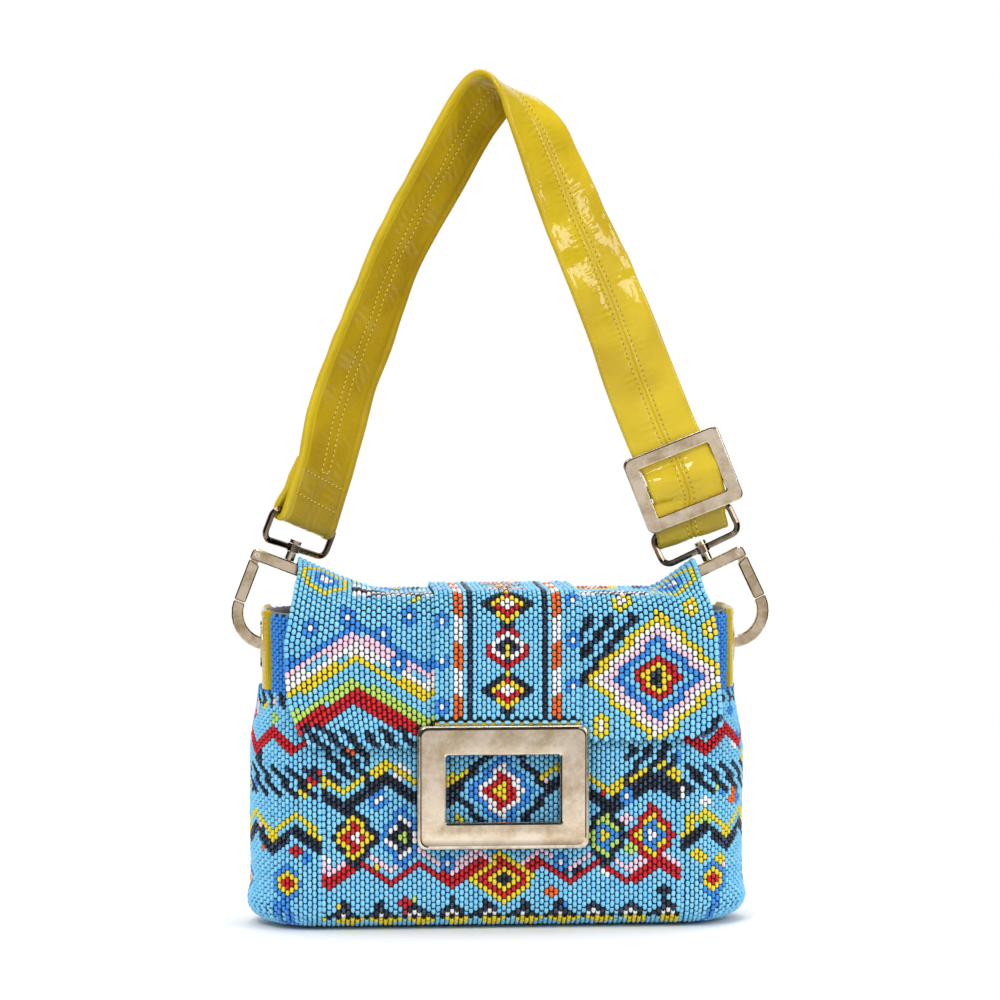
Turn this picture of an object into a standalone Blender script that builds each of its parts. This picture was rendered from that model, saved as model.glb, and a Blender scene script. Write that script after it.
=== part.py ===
"""Beaded shoulder bag with a folding flap, a big buckle, two swivelling snap hooks and a strap.

Metres, +Z up. The origin is the middle of the flat base, and the front faces -Y.
The body is a stadium in plan: flat front and back panels joined by round ended gussets.
"""

import math

import bmesh
import bpy
from mathutils import Matrix, Vector

# Clearances
GAP = 0.0003
RUNNING_GAP = 0.0005
CUT_OVERRUN = 0.002
SEAM_GAP = 0.0008

# Body panels
SEAM_OFFSET = 0.0905
BODY_HALF_DEPTH = 0.035
BOTTOM_EDGE_RADIUS = 0.015
PANEL_THICKNESS = 0.003
GUSSET_TOP = 0.160
BACK_PANEL_DROP = 0.002
BACK_PANEL_TOP = GUSSET_TOP - BACK_PANEL_DROP
NOTCH_HALF_WIDTH = 0.020
NOTCH_DEPTH = 0.038
NOTCH_BOTTOM = GUSSET_TOP - NOTCH_DEPTH
BASE_SEAM_DEG = 55
LINING_THICKNESS = 0.001
LINING_RIM_DROP = 0.001
POCKET_HALF_WIDTH = 0.060
POCKET_BOTTOM = 0.045
POCKET_TOP = 0.115
POCKET_THICKNESS = 0.0012

# Side tabs, which carry the eyelets
TAB_INSET = 0.0061
TAB_FACE_X = SEAM_OFFSET + BODY_HALF_DEPTH - TAB_INSET
TAB_THICKNESS = 0.0025
TAB_MIDDLE_X = TAB_FACE_X - TAB_THICKNESS / 2
TAB_LAP = 0.012
TAB_BOTTOM = NOTCH_BOTTOM - TAB_LAP
TAB_HALF_WIDTH = 0.020
TAB_FLAT_HALF_WIDTH = 0.0128
TAB_EDGE_SETBACK = 0.0044
EYELET_DROP = 0.0182
EYELET_HEIGHT = GUSSET_TOP - EYELET_DROP
EYELET_BORE_RADIUS = 0.0070
EYELET_WALL = 0.0008
EYELET_FLANGE_RADIUS = 0.0118
EYELET_FLANGE_THICKNESS = 0.0010
WASHER_RADIUS = 0.0110
WASHER_THICKNESS = 0.0009

# Flap: a fixed top that arches over the hooks, and a front that folds up
FLAP_STANDOFF = 0.0035
FLAP_THICKNESS = 0.0020
FLAP_RISE = 0.0282
FLAP_TOP = EYELET_HEIGHT + FLAP_RISE
FLAP_TOP_INSET = 0.0174
FLAP_TOP_HALF_WIDTH = TAB_FACE_X - FLAP_TOP_INSET
FLAP_EDGE_RADIUS = 0.009
FLAP_BACK_DROP = 0.042
FLAP_BACK_BOTTOM = FLAP_TOP - FLAP_BACK_DROP
FLAP_FOLD_DROP = 0.003
FLAP_FOLD_HEIGHT = FLAP_TOP - FLAP_EDGE_RADIUS - FLAP_FOLD_DROP
FLAP_FOLD_FLARE = 0.0025
FLAP_FOLD_HALF_WIDTH = FLAP_TOP_HALF_WIDTH + FLAP_FOLD_FLARE
FLAP_LOW_FLARE = 0.0103
FLAP_LOW_HALF_WIDTH = FLAP_FOLD_HALF_WIDTH + FLAP_LOW_FLARE
FLAP_HEM_INSET = 0.0113
FLAP_HEM_HALF_WIDTH = FLAP_LOW_HALF_WIDTH - FLAP_HEM_INSET
FLAP_LENGTH = 0.0645
FLAP_BOTTOM = FLAP_FOLD_HEIGHT - FLAP_LENGTH
FLAP_SHOULDER_RISE = 0.0185
FLAP_LOW_SHOULDER = FLAP_BOTTOM + FLAP_SHOULDER_RISE
FLAP_SKEW = 0.004
LEFT_EAR_RISE = 0.0160
LEFT_EAR_WIDTH = 0.044
LEFT_EAR_START = FLAP_TOP_HALF_WIDTH - LEFT_EAR_WIDTH
RIGHT_EAR_RISE = 0.0140
RIGHT_EAR_WIDTH = 0.0295
RIGHT_EAR_START = FLAP_TOP_HALF_WIDTH - RIGHT_EAR_WIDTH
MOUTH_HEIGHT = 0.028
FRONT_PANEL_TOP = FLAP_FOLD_HEIGHT - MOUTH_HEIGHT
FLAP_LINING_THICKNESS = 0.0008
FLAP_LINING_INSET = 0.0008
BAND_HALF_WIDTH = 0.0363
BAND_OFFSET = 0.0023
BAND_THICKNESS = 0.0023
BAND_EDGING_HEIGHT = 0.0026

# Big buckle on the flap
BUCKLE_HALF_WIDTH = 0.043
BUCKLE_HEIGHT = 0.0622
BUCKLE_LAP = 0.0091
BUCKLE_TOP = FLAP_BOTTOM + BUCKLE_LAP
BUCKLE_BOTTOM = BUCKLE_TOP - BUCKLE_HEIGHT
BUCKLE_SIDE_BAR = 0.0135
BUCKLE_TOP_BAR = 0.0141
BUCKLE_BOTTOM_BAR = 0.0120
BUCKLE_WINDOW_HALF_WIDTH = BUCKLE_HALF_WIDTH - BUCKLE_SIDE_BAR
BUCKLE_WINDOW_BOTTOM = BUCKLE_BOTTOM + BUCKLE_BOTTOM_BAR
BUCKLE_WINDOW_TOP = BUCKLE_TOP - BUCKLE_TOP_BAR
BUCKLE_THICKNESS = 0.0058
BUCKLE_CORNER_RADIUS = 0.0036
BUCKLE_WINDOW_CORNER_RADIUS = 0.0008
BUCKLE_EDGE_BEVEL = 0.0016
BUCKLE_SCREW_INSET = 0.013
BUCKLE_SCREW_OFFSET = BUCKLE_HALF_WIDTH - BUCKLE_SCREW_INSET
BUCKLE_SCREW_RISE = 0.0050
BUCKLE_SCREW_RADIUS = 0.0015
BUCKLE_SCREW_HEAD_RADIUS = 0.0032
BUCKLE_SCREW_HEAD_THICKNESS = 0.0009
BUCKLE_SCREW_DEPTH = 0.003
MAGNET_RADIUS = 0.007
MAGNET_THICKNESS = 0.00075

# Snap hooks. Each is a flat D whose arc passes through the eyelet
HOOK_ARC_RADIUS = 0.016
HOOK_STRAIGHT = 0.0255
HOOK_BAR_WIDTH = 0.0059
HOOK_BAR_THICKNESS = 0.0040
HOOK_EDGE_BEVEL = 0.0006
HOOK_CORNER_RADIUS = 0.0026
LEFT_HOOK_SHIFT = -0.00185
LEFT_HOOK_TILT_DEG = 21.0
RIGHT_HOOK_SHIFT = 0.00245
RIGHT_HOOK_TILT_DEG = 25.3
GATE_OPENING_DEG = 22.0
GATE_NOSE_GAP = 0.0005
GATE_TONGUE_THICKNESS = 0.0012
GATE_TONGUE_HALF_WIDTH = 0.0020
GATE_TONGUE_GAP = 0.0003
GATE_PIN_RADIUS = 0.0009

# Swivels and rings
POST_RADIUS = 0.00245
POST_HEIGHT = 0.0043
POST_PIN_RADIUS = 0.0011
POST_SPIGOT_DEPTH = 0.0030
RIVET_RADIUS = 0.0030
RIVET_THICKNESS = 0.0018
RING_WIRE_RADIUS = 0.0016
RING_HALF_WIDTH = 0.0214
RING_HEIGHT = 0.0165
RING_CORNER_RADIUS = 0.0045
RING_BOSS_RADIUS = 0.0034
RING_BOSS_HALF_HEIGHT = 0.0019
LEFT_RING_TURN_DEG = 39.0

# Strap
STRAP_WIDTH = 0.0365
STRAP_THICKNESS = 0.0026
STRAP_EDGE_BEVEL = 0.0006
STRAP_RISE = 0.2884
STRAP_CREST_HEIGHT = EYELET_HEIGHT + STRAP_RISE
STRAP_TAB_LENGTH = 0.030
STRAP_CONVERGE = 0.012
STRAP_LEG_TILT_DEG = 21.5
STRAP_LEG_SHARE = 0.4444
SLIDER_RISE = 0.0206
SLIDER_SHIFT = 0.0021

# The arch of the strap, from the left ring to the right ring: each line is the share of the way
# across, the share of the rise, and the strap's turn about its own length in degrees
STRAP_ROUTE_SHARES = (
    (0.0706, 0.1653, 41.0),
    (0.1244, 0.3469, 46.0),
    (0.2122, 0.5383, 49.0),
    (0.3102, 0.7191, 47.0),
    (0.3726, 0.8161, 47.0),
    (0.4360, 0.9132, 56.0),
    (0.4740, 0.9790, 78.0),
    (0.4980, 1.0000, 92.0),
    (0.5250, 0.9900, 108.0),
    (0.5563, 0.9539, 122.0),
    (0.6117, 0.8680, 134.0),
    (0.6807, 0.7191, 145.0),
    (0.7305, 0.6172, 152.0),
)
ROUTE_STEPS = 4

# Slider buckle on the strap
SLIDER_HALF_WIDTH = 0.0254
SLIDER_HALF_HEIGHT = 0.01965
SLIDER_WINDOW_HALF_WIDTH = 0.0184
SLIDER_WINDOW_HALF_HEIGHT = 0.01295
SLIDER_THICKNESS = 0.0028
SLIDER_CORNER_RADIUS = 0.0038
SLIDER_WINDOW_CORNER_RADIUS = 0.0012
SLIDER_EDGE_BEVEL = 0.0006
SLIDER_BAR_RADIUS = 0.0014
SLIDER_BAR_HALF_WIDTH = 0.0210
END_LOOP_THICKNESS = 0.0018
END_LOOP_TAIL = 0.004

# Counts
ARC_STEPS = 8
HOOK_ARC_STEPS = 14
GUSSET_STEPS = 12
ROUND_STEPS = 24
LOOP_STEPS = 8

BEAD_BLUE = (0.27, 0.66, 0.86)
PATENT_YELLOW = (0.62, 0.50, 0.03)
LINING_GREY = (0.42, 0.42, 0.44)
HOOK_METAL = (0.62, 0.57, 0.50)
DARK_METAL = (0.30, 0.26, 0.23)

parts = None
cutters = None


def clear_scene():
    """Empty the file and make one collection for the bag and one for its cutters."""
    global parts, cutters
    for obj in list(bpy.data.objects):
        bpy.data.objects.remove(obj, do_unlink=True)
    parts = bpy.data.collections.new("beaded_shoulder_bag")
    cutters = bpy.data.collections.new("cutters")
    bpy.context.scene.collection.children.link(parts)
    bpy.context.scene.collection.children.link(cutters)


def paint(obj, colour, roughness, metallic):
    """Give the object its own plain material."""
    material = bpy.data.materials.new(obj.name)
    material.use_nodes = True
    shader = material.node_tree.nodes["Principled BSDF"]
    shader.inputs["Base Color"].default_value = (*colour, 1.0)
    shader.inputs["Roughness"].default_value = roughness
    shader.inputs["Metallic"].default_value = metallic
    obj.data.materials.clear()
    obj.data.materials.append(material)
    return obj


def beaded(obj):
    return paint(obj, BEAD_BLUE, 0.25, 0.0)


def patent(obj):
    return paint(obj, PATENT_YELLOW, 0.15, 0.0)


def cloth(obj):
    return paint(obj, LINING_GREY, 0.8, 0.0)


def plated(obj):
    return paint(obj, HOOK_METAL, 0.2, 1.0)


def darkened(obj):
    return paint(obj, DARK_METAL, 0.25, 1.0)


def new_object(name, mesh, collection=None, matrix=None):
    """Link a mesh as a named object, placed by a matrix."""
    obj = bpy.data.objects.new(name, mesh)
    (collection or parts).objects.link(obj)
    if matrix is not None:
        obj.matrix_world = matrix
    return obj


def frame_matrix(origin, x_axis, y_axis, z_axis):
    """The matrix of a local frame, given its origin and unit axes in the world."""
    rotation = Matrix((x_axis, y_axis, z_axis)).transposed()
    return Matrix.Translation(origin) @ rotation.to_4x4()


def sheet(name, rows, thickness, offset, matrix=None):
    """An open surface through rows of points, made solid. Offset -1 thickens behind its normal."""
    mesh = bpy.data.meshes.new(name)
    width = len(rows[0])
    points = [point for row in rows for point in row]
    faces = []
    for r in range(len(rows) - 1):
        for c in range(width - 1):
            a = r * width + c
            faces.append((a, a + 1, a + width + 1, a + width))
    mesh.from_pydata(points, [], faces)
    obj = new_object(name, mesh, matrix=matrix)
    make_solid(obj, thickness, offset)
    return obj


def make_solid(obj, thickness, offset):
    solidify = obj.modifiers.new("Thickness", "SOLIDIFY")
    solidify.thickness = thickness
    solidify.offset = offset
    solidify.use_even_offset = True


def bevel(obj, width, segments=1, angle_deg=40):
    modifier = obj.modifiers.new("Bevel", "BEVEL")
    modifier.width = width
    modifier.segments = segments
    modifier.limit_method = "ANGLE"
    modifier.angle_limit = math.radians(angle_deg)


def plate(name, outlines, thickness, matrix=None, collection=None):
    """A flat piece cut to an outline in local XY, with any further outlines as holes."""
    curve = bpy.data.curves.new(name, "CURVE")
    curve.dimensions = "2D"
    curve.fill_mode = "BOTH"
    curve.extrude = thickness / 2
    for outline in outlines:
        spline = curve.splines.new("POLY")
        spline.points.add(len(outline) - 1)
        for point, (x, y) in zip(spline.points, outline):
            point.co = (x, y, 0, 1)
        spline.use_cyclic_u = True
    return from_curve(name, curve, matrix, collection)


def wire(name, points, radius, cyclic=False, matrix=None):
    """A round wire along a list of points."""
    curve = bpy.data.curves.new(name, "CURVE")
    curve.dimensions = "3D"
    curve.bevel_depth = radius
    curve.bevel_resolution = 2
    curve.use_fill_caps = True
    spline = curve.splines.new("POLY")
    spline.points.add(len(points) - 1)
    for point, place in zip(spline.points, points):
        point.co = (*place, 1)
    spline.use_cyclic_u = cyclic
    return from_curve(name, curve, matrix, None)


def from_curve(name, curve, matrix, collection):
    """Turn a curve into a closed mesh object with merged flat faces."""
    guide = bpy.data.objects.new(name + "_curve", curve)
    bpy.context.scene.collection.objects.link(guide)
    graph = bpy.context.evaluated_depsgraph_get()
    mesh = bpy.data.meshes.new_from_object(guide.evaluated_get(graph))
    bpy.data.objects.remove(guide, do_unlink=True)
    bpy.data.curves.remove(curve)
    work = bmesh.new()
    work.from_mesh(mesh)
    bmesh.ops.remove_doubles(work, verts=work.verts, dist=GAP / ROUND_STEPS)
    bmesh.ops.dissolve_limit(work, angle_limit=math.radians(1), verts=work.verts, edges=work.edges)
    bmesh.ops.recalc_face_normals(work, faces=work.faces)
    work.to_mesh(mesh)
    work.free()
    mesh.name = name
    return new_object(name, mesh, collection, matrix)


def drum(name, radius, low, high, matrix=None, collection=None):
    """A round bar along local Z, from low to high."""
    mesh = bpy.data.meshes.new(name)
    work = bmesh.new()
    middle = Matrix.Translation((0, 0, (low + high) / 2))
    bmesh.ops.create_cone(work, cap_ends=True, segments=ROUND_STEPS, radius1=radius,
                          radius2=radius, depth=high - low, matrix=middle)
    work.to_mesh(mesh)
    work.free()
    mesh.shade_smooth()
    mesh.set_sharp_from_angle(angle=math.radians(40))
    return new_object(name, mesh, collection, matrix)


def block(name, low, high, matrix=None, collection=None):
    """A box between two opposite corners."""
    mesh = bpy.data.meshes.new(name)
    work = bmesh.new()
    size = [h - l for l, h in zip(low, high)]
    middle = [(l + h) / 2 for l, h in zip(low, high)]
    bmesh.ops.create_cube(work, size=1, matrix=Matrix.Translation(middle) @ Matrix.Diagonal((*size, 1)))
    work.to_mesh(mesh)
    work.free()
    return new_object(name, mesh, collection, matrix)


def turned(name, profile, matrix=None):
    """A solid of revolution about local Z, from a closed profile of (radius, height) pairs."""
    mesh = bpy.data.meshes.new(name)
    count = len(profile)
    edges = [(i, (i + 1) % count) for i in range(count)]
    mesh.from_pydata([(r, 0, z) for r, z in profile], edges, [])
    obj = new_object(name, mesh, matrix=matrix)
    screw = obj.modifiers.new("Turn", "SCREW")
    screw.steps = ROUND_STEPS
    screw.render_steps = ROUND_STEPS
    screw.use_merge_vertices = True
    screw.merge_threshold = 0.00001
    return obj


def combine(obj, other, operation):
    """Add a Boolean with another object, which becomes a hidden helper."""
    modifier = obj.modifiers.new(other.name, "BOOLEAN")
    modifier.operation = operation
    modifier.solver = "EXACT"
    modifier.object = other
    if other.name in parts.objects:
        parts.objects.unlink(other)
        cutters.objects.link(other)
    other.hide_render = True
    other.display_type = "WIRE"


def arc(centre, radius, start_deg, end_deg, steps):
    """Points along an arc in a plane, both ends included."""
    points = []
    for i in range(steps + 1):
        angle = math.radians(start_deg + (end_deg - start_deg) * i / steps)
        points.append((centre[0] + radius * math.cos(angle), centre[1] + radius * math.sin(angle)))
    return points


def rounded_rectangle(half_width, low, high, radius, steps=4):
    """The outline of a rectangle about x = 0, with round corners."""
    x = half_width - radius
    points = arc((x, low + radius), radius, -90, 0, steps)
    points += arc((x, high - radius), radius, 0, 90, steps)
    points += arc((-x, high - radius), radius, 90, 180, steps)
    points += arc((-x, low + radius), radius, 180, 270, steps)
    return points


def bottom_arc(start_deg, end_deg):
    """The body's rounded bottom edge as (distance from the middle, height) pairs."""
    centre = (BODY_HALF_DEPTH - BOTTOM_EDGE_RADIUS, BOTTOM_EDGE_RADIUS)
    return arc(centre, BOTTOM_EDGE_RADIUS, start_deg - 90, end_deg - 90, ARC_STEPS)


def along_x(section, x_low, x_high):
    """Two rows of points that carry a (y, z) section from one x to another."""
    return [[(x, y, z) for y, z in section] for x in (x_low, x_high)]


def make_panels():
    """The base, the front and the back, all in one extruded section that is split at its seams."""
    half_gap_deg = math.degrees(SEAM_GAP / 2 / BOTTOM_EDGE_RADIUS)
    edge = SEAM_OFFSET - GAP / 2
    low = bottom_arc(0, BASE_SEAM_DEG - half_gap_deg)
    high = bottom_arc(BASE_SEAM_DEG + half_gap_deg, 90)
    base = [(-y, z) for y, z in reversed(low)] + low
    beaded(sheet("base_panel", along_x(base, -edge, edge), PANEL_THICKNESS, -1))
    front = [(-y, z) for y, z in reversed(high)]
    front = [(-BODY_HALF_DEPTH, FRONT_PANEL_TOP)] + front
    beaded(sheet("front_panel", along_x(front, -edge, edge), PANEL_THICKNESS, -1))
    back = high + [(BODY_HALF_DEPTH, BACK_PANEL_TOP)]
    beaded(sheet("back_panel", along_x(back, -edge, edge), PANEL_THICKNESS, -1))


def make_gusset(name, side):
    """A round ended cup, notched at the top for the side tab. Side is -1 on the left."""
    section = [(BODY_HALF_DEPTH, GUSSET_TOP)] + list(reversed(bottom_arc(0, 90))) + [(0, 0)]
    mesh = bpy.data.meshes.new(name)
    edges = [(i, i + 1) for i in range(len(section) - 1)]
    mesh.from_pydata([(r, 0, z) for r, z in section], edges, [])
    place = Matrix.Translation((side * (SEAM_OFFSET + SEAM_GAP - GAP / 2), 0, 0))
    turn = Matrix.Rotation(math.radians(-90 if side > 0 else 90), 4, "Z")
    obj = new_object(name, mesh, matrix=place @ turn)
    screw = obj.modifiers.new("Turn", "SCREW")
    screw.angle = math.pi
    screw.steps = GUSSET_STEPS
    screw.render_steps = GUSSET_STEPS
    screw.use_merge_vertices = True
    screw.merge_threshold = 0.00001
    make_solid(obj, PANEL_THICKNESS, -1)
    reach = SEAM_OFFSET + BODY_HALF_DEPTH + CUT_OVERRUN
    low = (SEAM_OFFSET + PANEL_THICKNESS, -NOTCH_HALF_WIDTH, NOTCH_BOTTOM)
    high = (reach, NOTCH_HALF_WIDTH, GUSSET_TOP + CUT_OVERRUN)
    if side < 0:
        low, high = (-high[0], low[1], low[2]), (-low[0], high[1], high[2])
    combine(obj, block(name + "_notch", low, high, collection=cutters), "DIFFERENCE")
    return beaded(obj)


def make_lining():
    """An open cup of cloth inside the panels, lower at the front and at both ends."""
    inset = PANEL_THICKNESS + GAP
    radius = BODY_HALF_DEPTH - inset
    edge = BOTTOM_EDGE_RADIUS - inset
    end_top = TAB_BOTTOM - GAP
    front_top = FRONT_PANEL_TOP - LINING_RIM_DROP
    back_top = BACK_PANEL_TOP - LINING_RIM_DROP
    outline = []
    for side, start in ((1, -90), (-1, 90)):
        for i in range(GUSSET_STEPS + 1):
            angle = math.radians(start + 180 * i / GUSSET_STEPS)
            top = end_top
            if i in (0, GUSSET_STEPS):
                top = back_top if math.sin(angle) > 0 else front_top
            outline.append((side * SEAM_OFFSET, math.cos(angle), math.sin(angle), top))
    rows = []
    for i in range(4):
        tilt = math.radians(90 * i / 3)
        reach = radius - edge + edge * math.sin(tilt)
        height = inset + edge - edge * math.cos(tilt)
        rows.append([(x + reach * c, reach * s, height) for x, c, s, _ in outline])
    rows.append([(x + radius * c, radius * s, top) for x, c, s, top in outline])
    count = len(outline)
    points = [point for row in rows for point in row]
    faces = [tuple(reversed(range(count)))]
    for r in range(len(rows) - 1):
        for c in range(count):
            n = (c + 1) % count
            faces.append((r * count + c, r * count + n, (r + 1) * count + n, (r + 1) * count + c))
    mesh = bpy.data.meshes.new("lining")
    mesh.from_pydata(points, [], faces)
    obj = new_object("lining", mesh)
    make_solid(obj, LINING_THICKNESS, -1)
    cloth(obj)
    face = BODY_HALF_DEPTH - inset - LINING_THICKNESS - GAP
    low = (-POCKET_HALF_WIDTH, face - POCKET_THICKNESS, POCKET_BOTTOM)
    cloth(block("inner_pocket", low, (POCKET_HALF_WIDTH, face, POCKET_TOP)))


def tab_matrix(side):
    """Local Z points out of the bag, at the middle of the tab's thickness on the eyelet's axis."""
    origin = Vector((side * TAB_MIDDLE_X, 0, EYELET_HEIGHT))
    return frame_matrix(origin, (0, side, 0), (0, 0, 1), (side, 0, 0))


def make_side_tab(prefix, side):
    """The patent leather tab inside the gusset's top, with its eyelet and washer."""
    section = [
        (TAB_FACE_X - TAB_EDGE_SETBACK, -TAB_HALF_WIDTH),
        (TAB_FACE_X, -TAB_FLAT_HALF_WIDTH),
        (TAB_FACE_X, TAB_FLAT_HALF_WIDTH),
        (TAB_FACE_X - TAB_EDGE_SETBACK, TAB_HALF_WIDTH),
    ]
    heights = (TAB_BOTTOM, GUSSET_TOP)
    rows = [[(side * x, y, z) for x, y in section] for z in heights]
    tab = sheet(prefix + "_side_tab", rows, TAB_THICKNESS, -side)
    half = TAB_THICKNESS / 2
    neck = EYELET_BORE_RADIUS + EYELET_WALL
    place = tab_matrix(side)
    hole = drum(prefix + "_tab_hole", neck + GAP, -half - CUT_OVERRUN, half + CUT_OVERRUN,
                place, cutters)
    combine(tab, hole, "DIFFERENCE")
    patent(tab)
    face = half + GAP
    profile = [
        (EYELET_BORE_RADIUS, face + EYELET_FLANGE_THICKNESS),
        (EYELET_FLANGE_RADIUS, face + EYELET_FLANGE_THICKNESS),
        (EYELET_FLANGE_RADIUS, face),
        (neck, face),
        (neck, -face - WASHER_THICKNESS),
        (EYELET_BORE_RADIUS, -face - WASHER_THICKNESS),
    ]
    plated(turned(prefix + "_eyelet", profile, place))
    washer = [
        (neck + GAP, -face),
        (WASHER_RADIUS, -face),
        (WASHER_RADIUS, -face - WASHER_THICKNESS),
        (neck + GAP, -face - WASHER_THICKNESS),
    ]
    plated(turned(prefix + "_eyelet_washer", washer, place))


def flap_height(x, y):
    """The flap's outer top, with an ear over each hook that is round about the eyelets' axis."""
    start, rise = (LEFT_EAR_START, LEFT_EAR_RISE) if x < 0 else (RIGHT_EAR_START, RIGHT_EAR_RISE)
    share = max(0.0, abs(x) - start) / (FLAP_TOP_HALF_WIDTH - start)
    ridge = FLAP_TOP + rise * share - EYELET_HEIGHT
    if abs(y) >= ridge:
        return FLAP_TOP
    return max(FLAP_TOP, EYELET_HEIGHT + math.sqrt(ridge * ridge - y * y))


def flap_front_y():
    return -(BODY_HALF_DEPTH + FLAP_STANDOFF + FLAP_THICKNESS)


def flap_back_y():
    return BODY_HALF_DEPTH + GAP + FLAP_THICKNESS


def over_top(x, lift, front_low, back_low):
    """The section of a sheet that lies over the bag's top at x, from the back to the front."""
    back = flap_back_y() + lift
    front = flap_front_y() - lift
    radius = FLAP_EDGE_RADIUS + lift
    points = [(x, back, back_low)]
    for y, z in arc((back - radius, FLAP_TOP + lift - radius), radius, 0, 90, 4):
        points.append((x, y, z))
    inner_back = back - radius
    inner_front = front + radius
    for i in range(1, 12):
        y = inner_back + (inner_front - inner_back) * i / 12
        points.append((x, y, flap_height(x, y) + lift))
    for y, z in arc((inner_front, FLAP_TOP + lift - radius), radius, 90, 180, 4):
        points.append((x, y, z))
    points.append((x, front, front_low))
    return points


def make_flap_top():
    """The part of the flap that stays: up the back, over the hooks and just over the front edge."""
    stations = [-FLAP_TOP_HALF_WIDTH]
    stations += [-LEFT_EAR_START - (FLAP_TOP_HALF_WIDTH - LEFT_EAR_START) * s for s in (2 / 3, 1 / 3, 0)]
    stations += [RIGHT_EAR_START + (FLAP_TOP_HALF_WIDTH - RIGHT_EAR_START) * s for s in (0, 1 / 3, 2 / 3)]
    stations += [FLAP_TOP_HALF_WIDTH]
    low = FLAP_FOLD_HEIGHT + GAP / 2
    rows = [over_top(x, 0, low, FLAP_BACK_BOTTOM) for x in stations]
    beaded(sheet("flap_top", rows, FLAP_THICKNESS, -1))
    lift = GAP + BAND_THICKNESS
    edges = (BAND_OFFSET - BAND_HALF_WIDTH, BAND_OFFSET + BAND_HALF_WIDTH)
    rows = [over_top(x, lift, low, FLAP_BACK_BOTTOM) for x in edges]
    beaded(sheet("band_top", rows, BAND_THICKNESS, -1))


def upright_matrix(y):
    """A frame in the front plane: local X along the world's X, local Y up, local Z to the front."""
    return frame_matrix(Vector((0, y, 0)), (1, 0, 0), (0, 0, 1), (0, -1, 0))


def flap_outline(inset, top):
    """The flap front: flared, shouldered near the bottom and a little skewed to the right."""
    points = []
    for side in (1, -1):
        shape = [
            (FLAP_FOLD_HALF_WIDTH - inset, top, 0.0),
            (FLAP_LOW_HALF_WIDTH - inset, FLAP_LOW_SHOULDER, 0.8),
            (FLAP_HEM_HALF_WIDTH + (FLAP_LOW_HALF_WIDTH - FLAP_HEM_HALF_WIDTH) / 2 - inset,
             (FLAP_LOW_SHOULDER + FLAP_BOTTOM) / 2, 0.9),
            (FLAP_HEM_HALF_WIDTH - inset, FLAP_BOTTOM + inset, 1.0),
        ]
        corners = [(side * x + FLAP_SKEW * share, z) for x, z, share in shape]
        points += corners if side > 0 else list(reversed(corners))
    return points


def make_flap_front():
    """The folding part of the flap with its lining, band, edging and closing magnet."""
    top = FLAP_FOLD_HEIGHT - GAP / 2
    face = flap_front_y()
    middle = face + FLAP_THICKNESS / 2
    flap = plate("flap_front", [flap_outline(0, top)], FLAP_THICKNESS, upright_matrix(middle))
    back = face + FLAP_THICKNESS + GAP + FLAP_LINING_THICKNESS / 2
    lining = plate("flap_lining", [flap_outline(FLAP_LINING_INSET, top - FLAP_LINING_INSET)],
                   FLAP_LINING_THICKNESS, upright_matrix(back))
    band_y = face - GAP - BAND_THICKNESS / 2
    low = BUCKLE_TOP + GAP
    left = BAND_OFFSET - BAND_HALF_WIDTH
    right = BAND_OFFSET + BAND_HALF_WIDTH
    bead_low = low + BAND_EDGING_HEIGHT + GAP
    outline = [(left, bead_low), (right, bead_low), (right, top), (left, top)]
    beaded(plate("band_front", [outline], BAND_THICKNESS, upright_matrix(band_y)))
    edging = [(left, low), (right, low), (right, bead_low - GAP), (left, bead_low - GAP)]
    patent(plate("band_edging", [edging], BAND_THICKNESS, upright_matrix(band_y)))
    for name, side in (("left", -1), ("right", 1)):
        make_buckle_screw(name, side, flap, lining)
    beaded(flap)
    patent(lining)
    magnet_height = FLAP_BOTTOM + FLAP_LINING_INSET + MAGNET_RADIUS + GAP
    inner = face + FLAP_THICKNESS + FLAP_LINING_THICKNESS + GAP + GAP
    place = frame_matrix(Vector((0, inner, magnet_height)), (1, 0, 0), (0, 0, -1), (0, 1, 0))
    darkened(drum("flap_magnet", MAGNET_RADIUS, 0, MAGNET_THICKNESS, place))
    outer = -BODY_HALF_DEPTH - GAP
    place = frame_matrix(Vector((0, outer, magnet_height)), (1, 0, 0), (0, 0, 1), (0, -1, 0))
    darkened(drum("panel_magnet", MAGNET_RADIUS, 0, MAGNET_THICKNESS, place))


def make_buckle_screw(prefix, side, flap, lining):
    """A screw through the lining and the flap into the buckle's top bar."""
    height = FLAP_BOTTOM + BUCKLE_SCREW_RISE
    back = flap_front_y() + FLAP_THICKNESS + GAP + FLAP_LINING_THICKNESS
    origin = Vector((side * BUCKLE_SCREW_OFFSET, back, height))
    place = frame_matrix(origin, (1, 0, 0), (0, 0, 1), (0, -1, 0))
    through = BUCKLE_SCREW_RADIUS + GAP
    for piece, name in ((flap, "_flap_hole"), (lining, "_lining_hole")):
        hole = drum(prefix + name, through, -CUT_OVERRUN, FLAP_THICKNESS + CUT_OVERRUN, place, cutters)
        combine(piece, hole, "DIFFERENCE")
    tip = FLAP_LINING_THICKNESS + GAP + FLAP_THICKNESS + GAP + BUCKLE_SCREW_DEPTH
    profile = [
        (0, tip),
        (BUCKLE_SCREW_RADIUS, tip),
        (BUCKLE_SCREW_RADIUS, -GAP),
        (BUCKLE_SCREW_HEAD_RADIUS, -GAP),
        (BUCKLE_SCREW_HEAD_RADIUS, -GAP - BUCKLE_SCREW_HEAD_THICKNESS),
        (0, -GAP - BUCKLE_SCREW_HEAD_THICKNESS),
    ]
    plated(solid_turned(prefix + "_buckle_screw", profile, place))


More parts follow.
